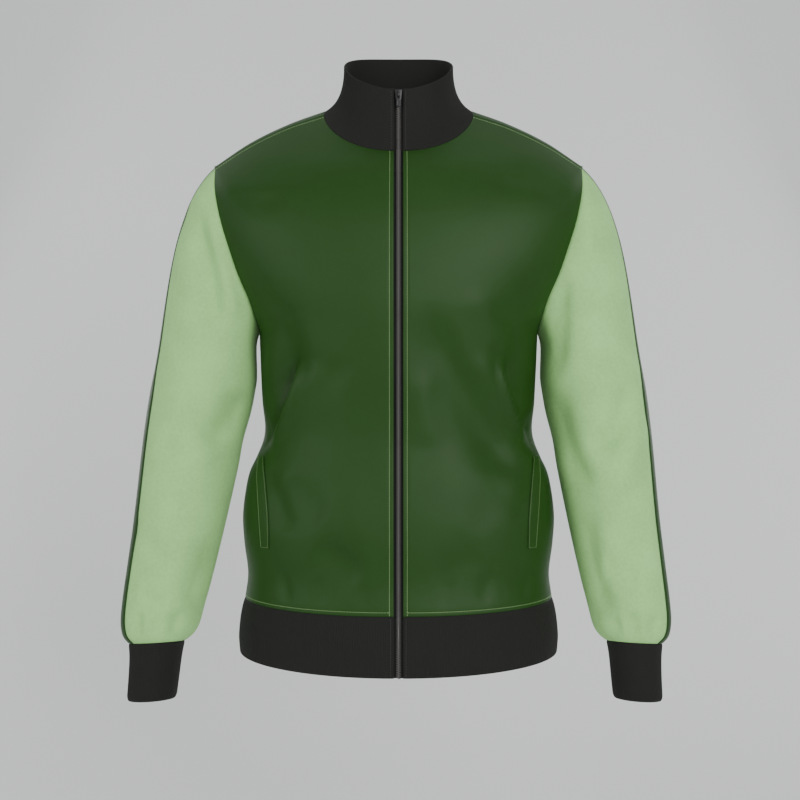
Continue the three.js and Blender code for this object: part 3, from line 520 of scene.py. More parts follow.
def add_sleeves():
    for label, side in (("left", 1), ("right", -1)):
        front_edge = grids[f"front_{label}"][:, -1]
        back_edge = grids["back"][:, -1 if side > 0 else 0]
        low, tip = FRONT_BREAKS["underarm"], FRONT_BREAKS["tip"]
        front = armhole_edge(front_edge, front_positions, low, tip)
        low, ridge, tip = (BACK_BREAKS[name] for name in ("underarm", "ridge", "tip"))
        stripe = armhole_edge(back_edge, back_positions, ridge, tip)
        rear = armhole_edge(back_edge, back_positions, low, ridge)
        grids[f"sleeve_front_{label}"] = sleeve_grid(front, "stripeFront", 180, side)
        grids[f"sleeve_stripe_{label}"] = sleeve_grid(stripe, "stripeFront", "stripeBack", side)
        grids[f"sleeve_back_{label}"] = sleeve_grid(rear, "stripeBack", -180, side)


# %% Normals that point out of the cloth
TORSO_TOP = -70
ARM_TOP = -110
arm_line = {
    "x": np.concatenate([[215], SLEEVE_RINGS["x"], CUFF_RINGS["x"][1:]]),
    "y": np.concatenate([[0], SLEEVE_RINGS["y"], CUFF_RINGS["y"][1:]]),
    "z": np.concatenate([[-200], SLEEVE_RINGS["z"], CUFF_RINGS["z"][1:]]),
}


def inside_points(name, grid):
    """Points inside the tube that a panel is part of."""
    inside = np.zeros_like(grid)
    if name == "collar":
        inside[..., 2] = grid[..., 2]
    elif name.startswith(("sleeve", "cuff")):
        side = 1 if name.endswith("left") else -1
        inside[..., 0] = side * np.interp(-grid[..., 2], -arm_line["z"], arm_line["x"])
        inside[..., 1] = np.interp(-grid[..., 2], -arm_line["z"], arm_line["y"])
        inside[..., 2] = np.minimum(grid[..., 2], ARM_TOP)
    else:
        inside[..., 2] = np.minimum(grid[..., 2], TORSO_TOP)
    return inside


def grid_normals(name, grid):
    """Unit normals of a grid, all turned away from the points inside."""
    closed = name.startswith("cuff")
    ring = np.concatenate([grid, grid[:, :1]], 1) if closed else grid
    face = np.cross(ring[1:, 1:] - ring[:-1, :-1], ring[1:, :-1] - ring[:-1, 1:])
    total = np.zeros_like(ring)
    for row in (slice(None, -1), slice(1, None)):
        for column in (slice(None, -1), slice(1, None)):
            total[row, column] += face
    if closed:
        total[:, 0] += total[:, -1]
        total = total[:, :-1]
    side = np.sign((total * (grid - inside_points(name, grid))).sum())
    return side * total / (np.linalg.norm(total, axis=2, keepdims=True) + 1e-12)


def shared_normals():
    """Normals of all panels, averaged where points of different panels coincide."""
    normals = {name: grid_normals(name, grid) for name, grid in grids.items()}
    points = np.concatenate([grid.reshape(-1, 3) for grid in grids.values()])
    flat = np.concatenate([normals[name].reshape(-1, 3) for name in grids])
    group = np.unique(np.round(points, 2), axis=0, return_inverse=True)[1].ravel()
    total = np.zeros((group.max() + 1, 3))
    np.add.at(total, group, flat)
    flat = total[group]
    flat /= np.linalg.norm(flat, axis=1, keepdims=True) + 1e-12
    ends = np.cumsum([grid.shape[0] * grid.shape[1] for grid in grids.values()])
    parts = np.split(flat, ends[:-1])
    return {name: part.reshape(grids[name].shape) for name, part in zip(grids, parts)}


# %% Distances along the cloth
EDGES = ("first_row", "last_row", "first_column", "last_column")


def lengths_along(grid, axis):
    steps = np.linalg.norm(np.diff(grid, axis=axis), axis=2)
    total = np.cumsum(steps, axis=axis)
    start = np.zeros_like(np.take(total, [0], axis=axis))
    return np.concatenate([start, total], axis=axis)


def edge_distances(grid):
    """Distance along the cloth from each of the four edges, for every point."""
    up, across = lengths_along(grid, 0), lengths_along(grid, 1)
    return dict(zip(EDGES, (up, up[-1:] - up, across, across[:, -1:] - across)))


# %% Fold the body, then sew the sleeves to it
normals = shared_normals()
for name in ("front_left", "front_right", "back"):
    depth = main_fold_depth(grids[name]) + fold_depth(grids[name], FINE_FOLDS, 0) * FINE_SHARE
    grids[name] = grids[name] + normals[name] * depth[..., None]
    print(name, "folds from", round(float(depth.min()), 1), "to", round(float(depth.max()), 1), "mm")
add_sleeves()
normals = shared_normals()
for name in [name for name in grids if name.startswith("sleeve")]:
    middle_y = inside_points(name, grids[name])[..., 1]
    distances = edge_distances(grids[name])
    sewn = np.clip(np.minimum(distances["first_row"], distances["last_row"]) / SEWN_BLEND, 0, 1)
    depth = fold_depth(grids[name], SLEEVE_FOLDS, middle_y, SLEEVE_WIDEN) * sewn * SLEEVE_SHARE
    grids[name] = grids[name] + normals[name] * depth[..., None]
print("sleeve front grid", grids["sleeve_front_left"].shape[:2])

# %% [markdown]
# ## Ribs that are really there
# Rib knit is a row of upright columns with valleys between them. On the collar, the hem band
# and the cuffs, the ribs are modelled: four columns of points make one rib, so the bands catch
# light on every rib from any side. The bands are rings sampled anew along their seams, with
# one rib every 2.7 mm.

# %% Grids of the collar, hem band and cuffs
RIB_PITCH = 2.7
RIB_COLUMNS = 4
COLLAR_TOP = {
    "halfWidth": 66.5, "front": -60, "back": 57, "frontZ": 35.5, "climb": 0.892, "ease": 0.0028,
}
COLLAR_SHARES = [0, 0.005, 0.015, 0.032, 0.055, *np.linspace(0.09, 0.94, 20), 0.965, 0.982, 0.993, 1]
HEM_BAND = table("drop flare", {
    "lower edge": [1, 6], "low": [0.72, 7.4], "middle": [0.42, 6], "high": [0.18, 3.4], "seam": [0, 0],
})
HEM_DROP = 65
HEM_FRONT_EXTRA = 0.05
HEM_SHARES = [0, 0.02, 0.06, 0.12] + list(np.linspace(0.25, 3.7, 16)) + [3.83, 3.92, 3.97, 4]
ZIP_BLEND = 12
COLLAR_INWARD_PULL = 2.6
COLLAR_LOW_RISE = 0.55
COLLAR_TOP_RISE = 1.1


def jacket_ring(row):
    """A ring of body points, from the right edge of the zip round the back to the left edge."""
    right, back, left = (grids[name][row] for name in ("front_right", "back", "front_left"))
    return np.concatenate([right, back[1:], left[::-1][1:]])


def even_ribs(ring):
    """The ring again, with evenly spaced points: four for each rib."""
    lengths = np.concatenate([[0], np.cumsum(np.linalg.norm(np.diff(ring, axis=0), axis=1))])
    ribs = round(lengths[-1] / RIB_PITCH)
    wanted = np.linspace(0, lengths[-1], ribs * RIB_COLUMNS + 1)
    positions = np.interp(wanted, lengths, np.arange(len(ring)))
    return np.stack([smooth(ring[:, axis], positions) for axis in range(3)], 1)


def by_zip(points):
    """How much a point belongs to the straight edge of the zip: 1 at it, 0 well away."""
    near = np.exp(-((np.abs(points[:, 0]) - ZIP_OPENING / 2) / ZIP_BLEND) ** 2)
    return (near * (points[:, 1] < 0))[:, None]


def collar_grid():
    start = even_ribs(jacket_ring(-1))
    top = COLLAR_TOP
    middle, half_depth = (top["front"] + top["back"]) / 2, (top["back"] - top["front"]) / 2
    angle = np.arctan2((start[:, 1] - middle) / half_depth, start[:, 0] / top["halfWidth"])
    end = np.stack([top["halfWidth"] * np.cos(angle), middle + half_depth * np.sin(angle)], 1)
    straight = np.stack([start[:, 0], np.full(len(start), float(top["front"]))], 1)
    near = by_zip(start)
    end = end * (1 - near) + straight * near
    from_front = end[:, 1] - top["front"]
    height = top["frontZ"] + top["climb"] * from_front - top["ease"] * from_front ** 2
    end = np.concatenate([end, height[:, None]], 1)
    rise = (end - start)[:, 2:] * [0, 0, 1]
    inward = (end - start) * [1, 1, 0]
    start_pull = inward * COLLAR_INWARD_PULL + rise * COLLAR_LOW_RISE
    end_pull = rise * COLLAR_TOP_RISE
    return np.array([hermite(start, end, start_pull, end_pull, share) for share in COLLAR_SHARES])


def hem_grid():
    start = even_ribs(jacket_ring(0))
    outwards = start * [1, 1, 0]
    outwards /= np.linalg.norm(outwards, axis=1)[:, None]
    near = by_zip(start)
    outwards = outwards * (1 - near) + np.array([0, -1, 0]) * near
    tilt = (1 - HEM_FRONT_EXTRA * outwards[:, 1:2]) * [0, 0, 1]
    rows = []
    for position in HEM_SHARES:
        flare, drop = smooth(HEM_BAND["flare"], position), smooth(HEM_BAND["drop"], position)
        rows.append(start + outwards * flare - tilt * HEM_DROP * drop)
    return np.array(rows)


CUFF_LAST_ZONE = 29
CUFF_ROUND = 8
CUFF_TUCK = 3.2
CUFF_ROWS = [0, 0.02, 0.06, 0.12, 0.2, *np.linspace(0.33, 2.7, 13), 2.78, 2.86, 2.92, 2.96, 2.985, 3]


def cuff_ring(position):
    """A ring of the cuff, drawn in over the last millimetres, where the knit is folded."""
    ring = ring_at(CUFF_RINGS, position)
    to_end = (CUFF_ROWS[-1] - position) * CUFF_LAST_ZONE
    tuck = CUFF_TUCK * (1 - math.sqrt(1 - max(0, 1 - to_end / CUFF_ROUND) ** 2))
    return {**ring, "halfWidth": ring["halfWidth"] - tuck, "halfDepth": ring["halfDepth"] - tuck}


def cuff_grid(side):
    ring = ring_at(CUFF_RINGS, 0)
    around = 2 * math.pi * math.sqrt((ring["halfWidth"] ** 2 + ring["halfDepth"] ** 2) / 2)
    columns = round(around / RIB_PITCH) * RIB_COLUMNS
    angles = np.linspace(0, 2 * math.pi, columns, endpoint=False)
    return np.array([ring_points(cuff_ring(position), angles, side) for position in CUFF_ROWS])


grids["collar"] = collar_grid()
grids["hem_band"] = hem_grid()
grids["cuff_left"] = cuff_grid(1)
grids["cuff_right"] = cuff_grid(-1)
normals = shared_normals()
print("ribs round the hem:", (grids["hem_band"].shape[1] - 1) // RIB_COLUMNS)

# %% [markdown]
# ## Shells of cloth
# Each panel becomes a closed shell: 2 mm thick for jersey, 2.5 mm for rib, and thinner for the
# welts and the zip's tapes. At a sewn edge the outer face dips, which leaves the small valley
# of a seam. A folded edge, at the zip, the collar's top, the hem and
# the cuffs, is rounded instead. The UV map is in metres along the cloth, so that every knit
# keeps its real size.

# %% Shell meshes
CLOTH_THICKNESS = 2
RIB_THICKNESS = 2.5
SEAM_DIP = 0.75
SEAM_WIDTH = 2.6
RIB_RELIEF = 0.34
RIB_SEAM_FADE = 1.5
ROUND_SHARE = 0.92
STITCH_DIP = 0.4
STITCH_WIDTH = 0.9


def seam_dip(distance):
    return SEAM_DIP * np.clip(1 - distance / SEAM_WIDTH, 0, 1) ** 2


def round_edge(distance, radius):
    short = np.clip(radius - distance, 0, radius)
    return ROUND_SHARE * (radius - np.sqrt(radius ** 2 - short ** 2))


def shell_faces(rows, columns, closed):
    """Quads of the outer face, the inner face and the rims, for a grid of points twice over."""
    index = np.arange(rows * columns).reshape(rows, columns)
    if closed:
        index = np.concatenate([index, index[:, :1]], 1)
    inner = index + rows * columns
    outer_quads = np.stack([index[:-1, :-1], index[:-1, 1:], index[1:, 1:], index[1:, :-1]], -1)
    inner_quads = np.stack([inner[:-1, :-1], inner[1:, :-1], inner[1:, 1:], inner[:-1, 1:]], -1)
    parts = [outer_quads.reshape(-1, 4), inner_quads.reshape(-1, 4)]
    parts.append(np.stack([index[0, 1:], index[0, :-1], inner[0, :-1], inner[0, 1:]], -1))
    parts.append(np.stack([index[-1, :-1], index[-1, 1:], inner[-1, 1:], inner[-1, :-1]], -1))
    if not closed:
        parts.append(np.stack([index[:-1, 0], index[1:, 0], inner[1:, 0], inner[:-1, 0]], -1))
        parts.append(np.stack([index[1:, -1], index[:-1, -1], inner[:-1, -1], inner[1:, -1]], -1))
    return np.concatenate(parts)


def signed_volume(points, faces):
    a, b, c, d = (points[faces[:, i]] for i in range(4))
    return (np.einsum("ij,ij->i", a, np.cross(b, c)) + np.einsum("ij,ij->i", a, np.cross(c, d))).sum()


def add_mesh(name, points, faces, uv=None):
    """A mesh object from points in millimetres, with its faces turned outwards."""
    faces = np.asarray(faces)
    if signed_volume(points, faces) < 0:
        faces = faces[:, ::-1]
    mesh = bpy.data.meshes.new(name)
    mesh.from_pydata((points * MM).tolist(), [], faces.tolist())
    if uv is not None:
        layer = mesh.uv_layers.new(name="cloth")
        corner_uv = (uv * MM)[faces.ravel()]
        layer.data.foreach_set("uv", corner_uv.ravel())
    mesh.shade_smooth()
    mesh.validate()
    piece = bpy.data.objects.new(name, mesh)
    bpy.context.collection.objects.link(piece)
    return piece


outer_points = {}


def make_shell(name, thickness, free=(), dents=None, relief=None):
    """Turns the grid called name into a closed shell of cloth."""
    grid, normal = grids[name], normals[name]
    closed = name.startswith("cuff")
    distances = edge_distances(grid)
    outer_dip, inner_rise = np.zeros(grid.shape[:2]), np.zeros(grid.shape[:2])
    for edge, distance in distances.items():
        if closed and "column" in edge:
            continue
        if edge in free:
            rounding = round_edge(distance, thickness / 2)
            outer_dip = np.maximum(outer_dip, rounding)
            inner_rise = np.maximum(inner_rise, rounding)
        else:
            outer_dip = np.maximum(outer_dip, seam_dip(distance))
    for extra in (dents, relief):
        if extra is not None:
            outer_dip = outer_dip + extra(name, distances)
    outer = grid - normal * outer_dip[..., None]
    inner = grid - normal * (thickness - inner_rise)[..., None]
    outer_points[name] = outer
    points = np.concatenate([outer.reshape(-1, 3), inner.reshape(-1, 3)])
    uv = np.stack([distances["first_column"], distances["first_row"]], -1).reshape(-1, 2)
    faces = shell_faces(*grid.shape[:2], closed)
    return add_mesh(name + "_cloth", points, faces, np.concatenate([uv, uv]))


cloth_pieces = {}


def add_panel(name, thickness, free=(), dents=None, relief=None):
    """A panel's shell, attached to the jacket in place of its solid. Dents and relief are functions."""
    piece = make_shell(name, thickness, free, dents, relief)
    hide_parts(name)
    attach(piece, "jacket")
    cloth_pieces[name] = piece


# %% Dents along the topstitching and the relief of the ribs
ZIP_STITCH = 4.8
HEM_STITCH = 4.4
SHOULDER_STITCH = 4.4


def stitch_dent(distance, at):
    """A stitched line pulls the cloth down a little."""
    return STITCH_DIP * np.exp(-((distance - at) / STITCH_WIDTH) ** 2)


def front_dents(name, distances):
    zip_dent = stitch_dent(distances["first_column"], ZIP_STITCH)
    hem_dent = stitch_dent(distances["first_row"], HEM_STITCH)
    return np.maximum(zip_dent, hem_dent)


def back_dents(name, distances):
    return stitch_dent(distances["first_row"], HEM_STITCH)


def rib_relief(name, distances):
    columns = np.arange(grids[name].shape[1])
    ribs = 0.5 - 0.5 * np.cos(2 * math.pi * (columns / RIB_COLUMNS))
    sewn = distances["last_row"] if name == "hem_band" else distances["first_row"]
    return RIB_RELIEF * ribs * (1 - np.exp(-(sewn / RIB_SEAM_FADE) ** 2))


for name in ("front_left", "front_right"):
    add_panel(name, CLOTH_THICKNESS, free=("first_column",), dents=front_dents)
add_panel("back", CLOTH_THICKNESS, dents=back_dents)
for label in ("left", "right"):
    for part in ("front", "back"):
        add_panel(f"sleeve_{part}_{label}", CLOTH_THICKNESS)
    add_panel(f"sleeve_stripe_{label}", CLOTH_THICKNESS)
    add_panel(f"cuff_{label}", RIB_THICKNESS, free=("last_row",), relief=rib_relief)
add_panel("collar", RIB_THICKNESS,
          free=("last_row", "first_column", "last_column"), relief=rib_relief)
add_panel("hem_band", RIB_THICKNESS,
          free=("first_row", "first_column", "last_column"), relief=rib_relief)

# %% [markdown]
# ## Pocket welts
# Each slanted pocket mouth is finished with a welt, a narrow folded strip that is stitched on
# top of the front. Its points come from the front's own surface and are lifted off it, so the
# strip follows the blouse of the cloth. Both its long edges are folds, so they are rounded.

# %% Pocket welts on the fronts
POCKET_FIRST_ROW = 2
POCKET_EDGES = table("innerX outerX", {
    "foot": [149, 159.5], "lower": [150, 162.5], "upper": [155, 166.5], "top": [158.5, 166.5],
})
WELT_LIFT = 1.4
WELT_THICKNESS = 1.2
WELT_ROWS = [0, 0.008, 0.024, 0.05] + list(np.linspace(0.1, 2.9, 40)) + [2.95, 2.976, 2.992, 3]
WELT_COLUMNS = [0, 0.03, 0.09, 0.2, 0.35, 0.5, 0.65, 0.8, 0.91, 0.97, 1]


def on_front(name, position, across):
    """Points and normals of a front at a position of its table and at distances from x = 0."""
    row = np.searchsorted(front_positions, position, side="right") - 1
    row = min(row, len(front_positions) - 2)
    share = (position - front_positions[row]) / (front_positions[row + 1] - front_positions[row])
    found = []
    for source in (grids[name], normals[name]):
        two = [np.stack([np.interp(across, np.abs(grids[name][r, :, 0]), source[r, :, axis])
                         for axis in range(3)], -1) for r in (row, row + 1)]
        found.append(two[0] * (1 - share) + two[1] * share)
    return found[0], found[1] / np.linalg.norm(found[1], axis=-1, keepdims=True)


def welt_line(name, share_across, shares_along):
    """Points and normals along a pocket welt, at a share of its width."""
    line = []
    for along in shares_along:
        inner = smooth(POCKET_EDGES["innerX"], along)
        outer = smooth(POCKET_EDGES["outerX"], along)
        across = inner + (outer - inner) * np.atleast_1d(share_across)
        line.append(on_front(name, POCKET_FIRST_ROW + along, across))
    return [np.array(part) for part in zip(*line)]


for label in ("left", "right"):
    name = f"pocket_welt_{label}"
    points, facing = welt_line(f"front_{label}", np.array(WELT_COLUMNS), WELT_ROWS)
    grids[name] = points + facing * WELT_LIFT
    normals[name] = facing
    add_panel(name, WELT_THICKNESS, free=EDGES)

# %% [markdown]
# ## Topstitching
# A lockstitch shows as a row of short threads that dive into the cloth at both ends. One
# stitch is a small tube whose ends sink, and a line of stitches is many copies of it joined
# in one mesh. The stitches differ a little in length, angle and height, like sewn ones. The
# random numbers have a fixed seed, so each run sews the same jacket.

# %% Stitches as small sunken tubes
STITCH_PITCH = 3.3
STITCH_LENGTH = 2.3
THREAD_RADIUS = 0.25
STITCH_RINGS = np.array([-0.5, -0.36, -0.14, 0.14, 0.36, 0.5])
STITCH_HEIGHTS = np.array([-0.9, 0.25, 0.75, 0.75, 0.25, -0.9])
STITCH_GIRTHS = np.array([0.55, 0.9, 1, 1, 0.9, 0.55])
THREAD_SIDES = 6
random_values = np.random.default_rng(20)


def even_stations(points, normals_there, pitch):
    """Places a pitch apart along a line, each with its direction and its normal."""
    lengths = np.concatenate([[0], np.cumsum(np.linalg.norm(np.diff(points, axis=0), axis=1))])
    count = max(int(lengths[-1] / pitch), 1)
    wanted = (np.arange(count) + 0.5) * lengths[-1] / count
    place, up, ahead = (np.stack([np.interp(at, lengths, values[:, axis]) for axis in range(3)], 1)
                        for at, values in ((wanted, points), (wanted, normals_there),
                                           (np.minimum(wanted + 0.5, lengths[-1]), points)))
    along = ahead - place
    along /= np.linalg.norm(along, axis=1)[:, None]
    up /= np.linalg.norm(up, axis=1)[:, None]
    return place, along, up


def stitch_mesh(lines, length=STITCH_LENGTH, radius=THREAD_RADIUS, pitch=STITCH_PITCH):
    """Points and faces of all the stitches along several lines of points and normals."""
    stations = [even_stations(points, up, pitch) for points, up in lines]
    place, along, up = (np.concatenate(parts) for parts in zip(*stations))
    across = np.cross(along, up)
    lean = random_values.normal(0, 0.05, (len(place), 1))
    along = along + across * lean
    sizes = length * random_values.normal(1, 0.05, (len(place), 1, 1))
    lift = radius * random_values.normal(1, 0.12, (len(place), 1, 1))
    spine = (place[:, None] + along[:, None] * STITCH_RINGS[:, None] * sizes
             + up[:, None] * STITCH_HEIGHTS[:, None] * lift)
    angles = np.arange(THREAD_SIDES) * 2 * math.pi / THREAD_SIDES
    round_it = (across[:, None] * np.cos(angles)[:, None] + up[:, None] * np.sin(angles)[:, None])
    tube = spine[:, :, None] + round_it[:, None] * (STITCH_GIRTHS * radius)[:, None, None]
    rings = len(STITCH_RINGS)
    faces = []
    for ring in range(rings - 1):
        for side in range(THREAD_SIDES):
            beside = (side + 1) % THREAD_SIDES
            low, high = ring * THREAD_SIDES, (ring + 1) * THREAD_SIDES
            faces.append([low + side, low + beside, high + beside, high + side])
    faces = np.array(faces)
    per_stitch = rings * THREAD_SIDES
    starts = (np.arange(len(place)) * per_stitch)[:, None, None]
    return tube.reshape(-1, 3), (faces[None] + starts).reshape(-1, 4), len(place)


def add_stitches(name, lines, finish="thread", **sizes):
    points, faces, count = stitch_mesh(lines, **sizes)
    piece = add_mesh(name, points, faces)
    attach(piece, "jacket")
    trim_pieces.append((piece, finish))
    print(name, "has", count, "stitches")


trim_pieces = []


def grid_line(name, row=None, column=None, first=0, last=None):
    """The outer points and the normals along one row or one column of a panel."""
    chosen = (row, slice(first, last)) if column is None else (slice(first, last), column)
    return outer_points[name][chosen], normals[name][chosen]


# %% Sew the lines of stitches
zip_column = ZIP_STEPS.index(ZIP_STITCH)
hem_row = SEAM_STEPS.index(HEM_STITCH)
shoulder_column = -1 - SEAM_STEPS.index(SHOULDER_STITCH)
tip_row = int(np.searchsorted(front_positions, FRONT_BREAKS["tip"]))
for label in ("left", "right"):
    name = f"front_{label}"
    lines = [grid_line(name, column=zip_column, first=1, last=-1),
             grid_line(name, row=hem_row, first=zip_column),
             grid_line(name, column=shoulder_column, first=tip_row)]
    add_stitches(f"front_stitches_{label}", lines)
    welt = f"pocket_welt_{label}"
    outer_line = (outer_points[welt][2:-2, -3], normals[welt][2:-2, -3])
    foot_line = (outer_points[welt][2, 2:-2], normals[welt][2, 2:-2])
    inner_line = (outer_points[welt][2:-2, 2], normals[welt][2:-2, 2])
    add_stitches(f"pocket_stitches_{label}", [outer_line, foot_line], radius=0.16)
    add_stitches(f"pocket_inner_stitches_{label}", [inner_line], radius=0.09)
add_stitches("back_hem_stitches", [grid_line("back", row=hem_row)])
COLLAR_STITCH_COLUMN = 5
collar_lines = [grid_line("collar", column=column, first=3, last=-3)
                for column in (COLLAR_STITCH_COLUMN, -1 - COLLAR_STITCH_COLUMN)]
band_lines = [grid_line("hem_band", column=column, first=3, last=-3)
              for column in (COLLAR_STITCH_COLUMN, -1 - COLLAR_STITCH_COLUMN)]
add_stitches("rib_stitches", collar_lines + band_lines, finish="dark_thread", radius=0.2)

# %% [markdown]
# ## The zip
# A zip is two woven tapes with a thick edge, and a row of moulded teeth gripped on each edge.
# The teeth of the two sides alternate, so the closed chain looks like one ribbed strip. Its
# line follows the front edges from the hem's lower edge up to the collar's top. The teeth hide
# the tapes' thick edges, so the tapes here are even shells.

# %% The line of the zip
TAPE_INSET = 2.8
TAPE_THICKNESS = 0.9
TAPE_INNER_EDGE = 0.25
TAPE_UNDER_COLUMN = 9


def zip_line(side, column):
    """Points and normals up the zip at one column in from the front edge, on one side."""
    parts = []
    for name in ("hem_band", f"front_{'left' if side > 0 else 'right'}", "collar"):
        if name.startswith("front"):
            index = column
        else:
            index = -1 - column if side > 0 else column
        parts.append((grids[name][:, index], normals[name][:, index]))
    points, facing = zip(*[(points[:-1], facing[:-1]) for points, facing in parts[:-1]], parts[-1])
    return np.concatenate(points), np.concatenate(facing)


def straight_in(facing):
    facing = facing * [0, 1, 1]
    return facing / np.linalg.norm(facing, axis=1)[:, None]


edge_points, edge_normals = zip_line(1, 0)
centre_line = edge_points * [0, 1, 1]
centre_normals = straight_in(edge_normals)
zip_length = np.linalg.norm(np.diff(centre_line, axis=0), axis=1).sum()
print("zip length in mm:", round(float(zip_length)))

# %% Tapes behind the teeth
TAPE_ACROSS = [0, 0.15, 0.4, 0.8, 1.2, 2.2, 3.6]


def zip_tape(side):
    edge, edge_facing = zip_line(side, 0)
    inner_facing = straight_in(edge_facing)
    inner = edge * [0, 1, 1] + np.array([side * TAPE_INNER_EDGE, 0, 0])
    columns, facings = [], []
    for across in TAPE_ACROSS:
        share = across / TAPE_ACROSS[-1]
        columns.append(inner * (1 - share) + edge * share)
        facings.append(inner_facing * (1 - share) + edge_facing * share)
    under, under_facing = zip_line(side, TAPE_UNDER_COLUMN)
    columns.append(under)
    facings.append(under_facing)
    grid, facing = np.stack(columns, 1), np.stack(facings, 1)
    facing /= np.linalg.norm(facing, axis=2)[..., None]
    return grid - facing * TAPE_INSET, facing


for label, side in (("left", 1), ("right", -1)):
    name = f"zip_tape_{label}"
    grids[name], normals[name] = zip_tape(side)
    add_panel(name, TAPE_THICKNESS, free=EDGES)

# %% One tooth, made by hand, then copied up the zip
TOOTH_PITCH = 2.6
TOOTH_SIZE = (3.3, 2.3, 1.1)
TOOTH_OFFSET = 0.8
TOOTH_BEVEL = 0.28
BELOW_SLIDER = 3
CHAIN_SINK = 1.15
SLIDER_PLACE = (0, -60.056, 28.0)
SLIDER_TURN = -0.00747


def deselect():
    for chosen in bpy.context.selected_objects:
        chosen.select_set(False)


def make_tooth():
    """A rounded block: width across the zip, depth into it, height up it."""
    deselect()
    bpy.ops.mesh.primitive_cube_add(size=1)
    tooth = bpy.context.object
    tooth.name = "tooth"
    bpy.ops.transform.resize(value=TOOTH_SIZE)
    bpy.ops.object.transform_apply(location=False, rotation=False, scale=True)
    bpy.ops.object.mode_set(mode="EDIT")
    bpy.ops.mesh.select_all(action="SELECT")
    bpy.ops.mesh.bevel(offset=TOOTH_BEVEL, segments=2, profile=0.6)
    bpy.ops.object.mode_set(mode="OBJECT")
    return tooth


tooth = make_tooth()
tooth_points = np.array([vertex.co for vertex in tooth.data.vertices])
tooth_faces = [list(polygon.vertices) for polygon in tooth.data.polygons]
bpy.data.objects.remove(tooth)

upto_slider = centre_line[:, 2] < SLIDER_PLACE[2] - BELOW_SLIDER
chain_line = centre_line[upto_slider] - centre_normals[upto_slider] * CHAIN_SINK
place, along, up = even_stations(chain_line, centre_normals[upto_slider], TOOTH_PITCH / 2)
side = np.where(np.arange(len(place)) % 2 == 0, 1, -1)[:, None, None]
sideways = np.array([1, 0, 0])
tooth_parts = (tooth_points[None, :, :1] + TOOTH_OFFSET) * side * sideways
tooth_parts = tooth_parts - up[:, None] * tooth_points[None, :, 1:2]
tooth_parts = tooth_parts + along[:, None] * tooth_points[None, :, 2:]
all_points = (place[:, None] + tooth_parts).reshape(-1, 3)
all_faces = []
for index in range(len(place)):
    start = index * len(tooth_points)
    turned = tooth_faces if side[index, 0, 0] < 0 else [face[::-1] for face in tooth_faces]
    all_faces += [[start + corner for corner in face] for face in turned]
mesh = bpy.data.meshes.new("zip_teeth")
mesh.from_pydata((all_points * MM).tolist(), [], all_faces)
mesh.shade_smooth()
zip_teeth = bpy.data.objects.new("zip_teeth", mesh)
bpy.context.collection.objects.link(zip_teeth)
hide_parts("zip_chain")
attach(zip_teeth, "jacket")
trim_pieces.append((zip_teeth, "teeth"))
print("teeth:", len(place), "faces:", len(all_faces))

# %% [markdown]
# ## Slider and pull tab
# The slider is a cast piece: a front plate and a back plate joined by a post between the two
# rows of teeth, with a crown, a small bridge that holds the pull tab. It starts from cubes
# and a ring, which are shaped in edit mode, then joined. The pull tab has an eye that the
# crown passes through, so it can swing, and it rides on its own body.

# %% Helpers for modelling by hand
SLIDER_WIDTH, SLIDER_HEIGHT, PLATE_THICKNESS = 8.6, 12, 1.2
BACK_WIDTH = 7.6
BACK_FACE = 4.2
FRONT_FACE = -0.3
POST_WIDTH = 2.4
CROWN_RADIUS = 3.35
CROWN_WIRE = 0.62
CROWN_SQUASH = 0.82
CROWN_STRETCH = 1.45
CROWN_SUNK = 0.3
FRONT_TAPER = 0.72
BACK_TAPER = 0.78
TAB_WIDTH, TAB_LENGTH, TAB_THICKNESS = 5.2, 15, 1.2
TAB_TOP_TAPER = 0.82
TAB_EYE = (2.8, 4.6)
GRIP_SIZE = (2.9, 1.1, 6.2)
GRIP_HEIGHT = -10.2
TAB_PLACE = (0, -62.656, 28.02)


def add_block(name, centre, size, bevel, segments=3):
    """A cube, scaled and moved to its place, with rounded edges. Sizes are in millimetres."""
    deselect()
    bpy.ops.mesh.primitive_cube_add(size=1, location=centre)
    block = bpy.context.object
    block.name = name
    bpy.ops.transform.resize(value=size, center_override=centre)
    bpy.ops.object.transform_apply(location=True, rotation=False, scale=True)
    if bevel:
        bpy.ops.object.mode_set(mode="EDIT")
        bpy.ops.mesh.select_all(action="SELECT")
        bpy.ops.mesh.bevel(offset=bevel, segments=segments, profile=0.5)
        bpy.ops.object.mode_set(mode="OBJECT")
    return block


def resize_where(block, chosen, value, centre=(0, 0, 0)):
    """Selects the vertices that pass a test, and scales them together in edit mode."""
    bpy.ops.object.mode_set(mode="EDIT")
    bpy.ops.mesh.select_mode(type="VERT")
    bpy.ops.mesh.select_all(action="DESELECT")
    bpy.ops.object.mode_set(mode="OBJECT")
    for vertex in block.data.vertices:
        vertex.select = chosen(vertex.co)
    bpy.ops.object.mode_set(mode="EDIT")
    bpy.ops.transform.resize(value=value, center_override=centre)
    bpy.ops.object.mode_set(mode="OBJECT")


def join(blocks, name):
    deselect()
    for block in blocks:
        block.select_set(True)
    bpy.context.view_layer.objects.active = blocks[0]
    bpy.ops.object.join()
    joined = bpy.context.object
    joined.name = name
    bpy.ops.object.shade_smooth_by_angle(angle=math.radians(35))
    return joined


def apply_modifier(block, kind, **settings):
    bpy.context.view_layer.objects.active = block
    modifier = block.modifiers.new(kind.lower(), kind)
    for name, value in settings.items():
        setattr(modifier, name, value)
    bpy.ops.object.modifier_apply(modifier=modifier.name)


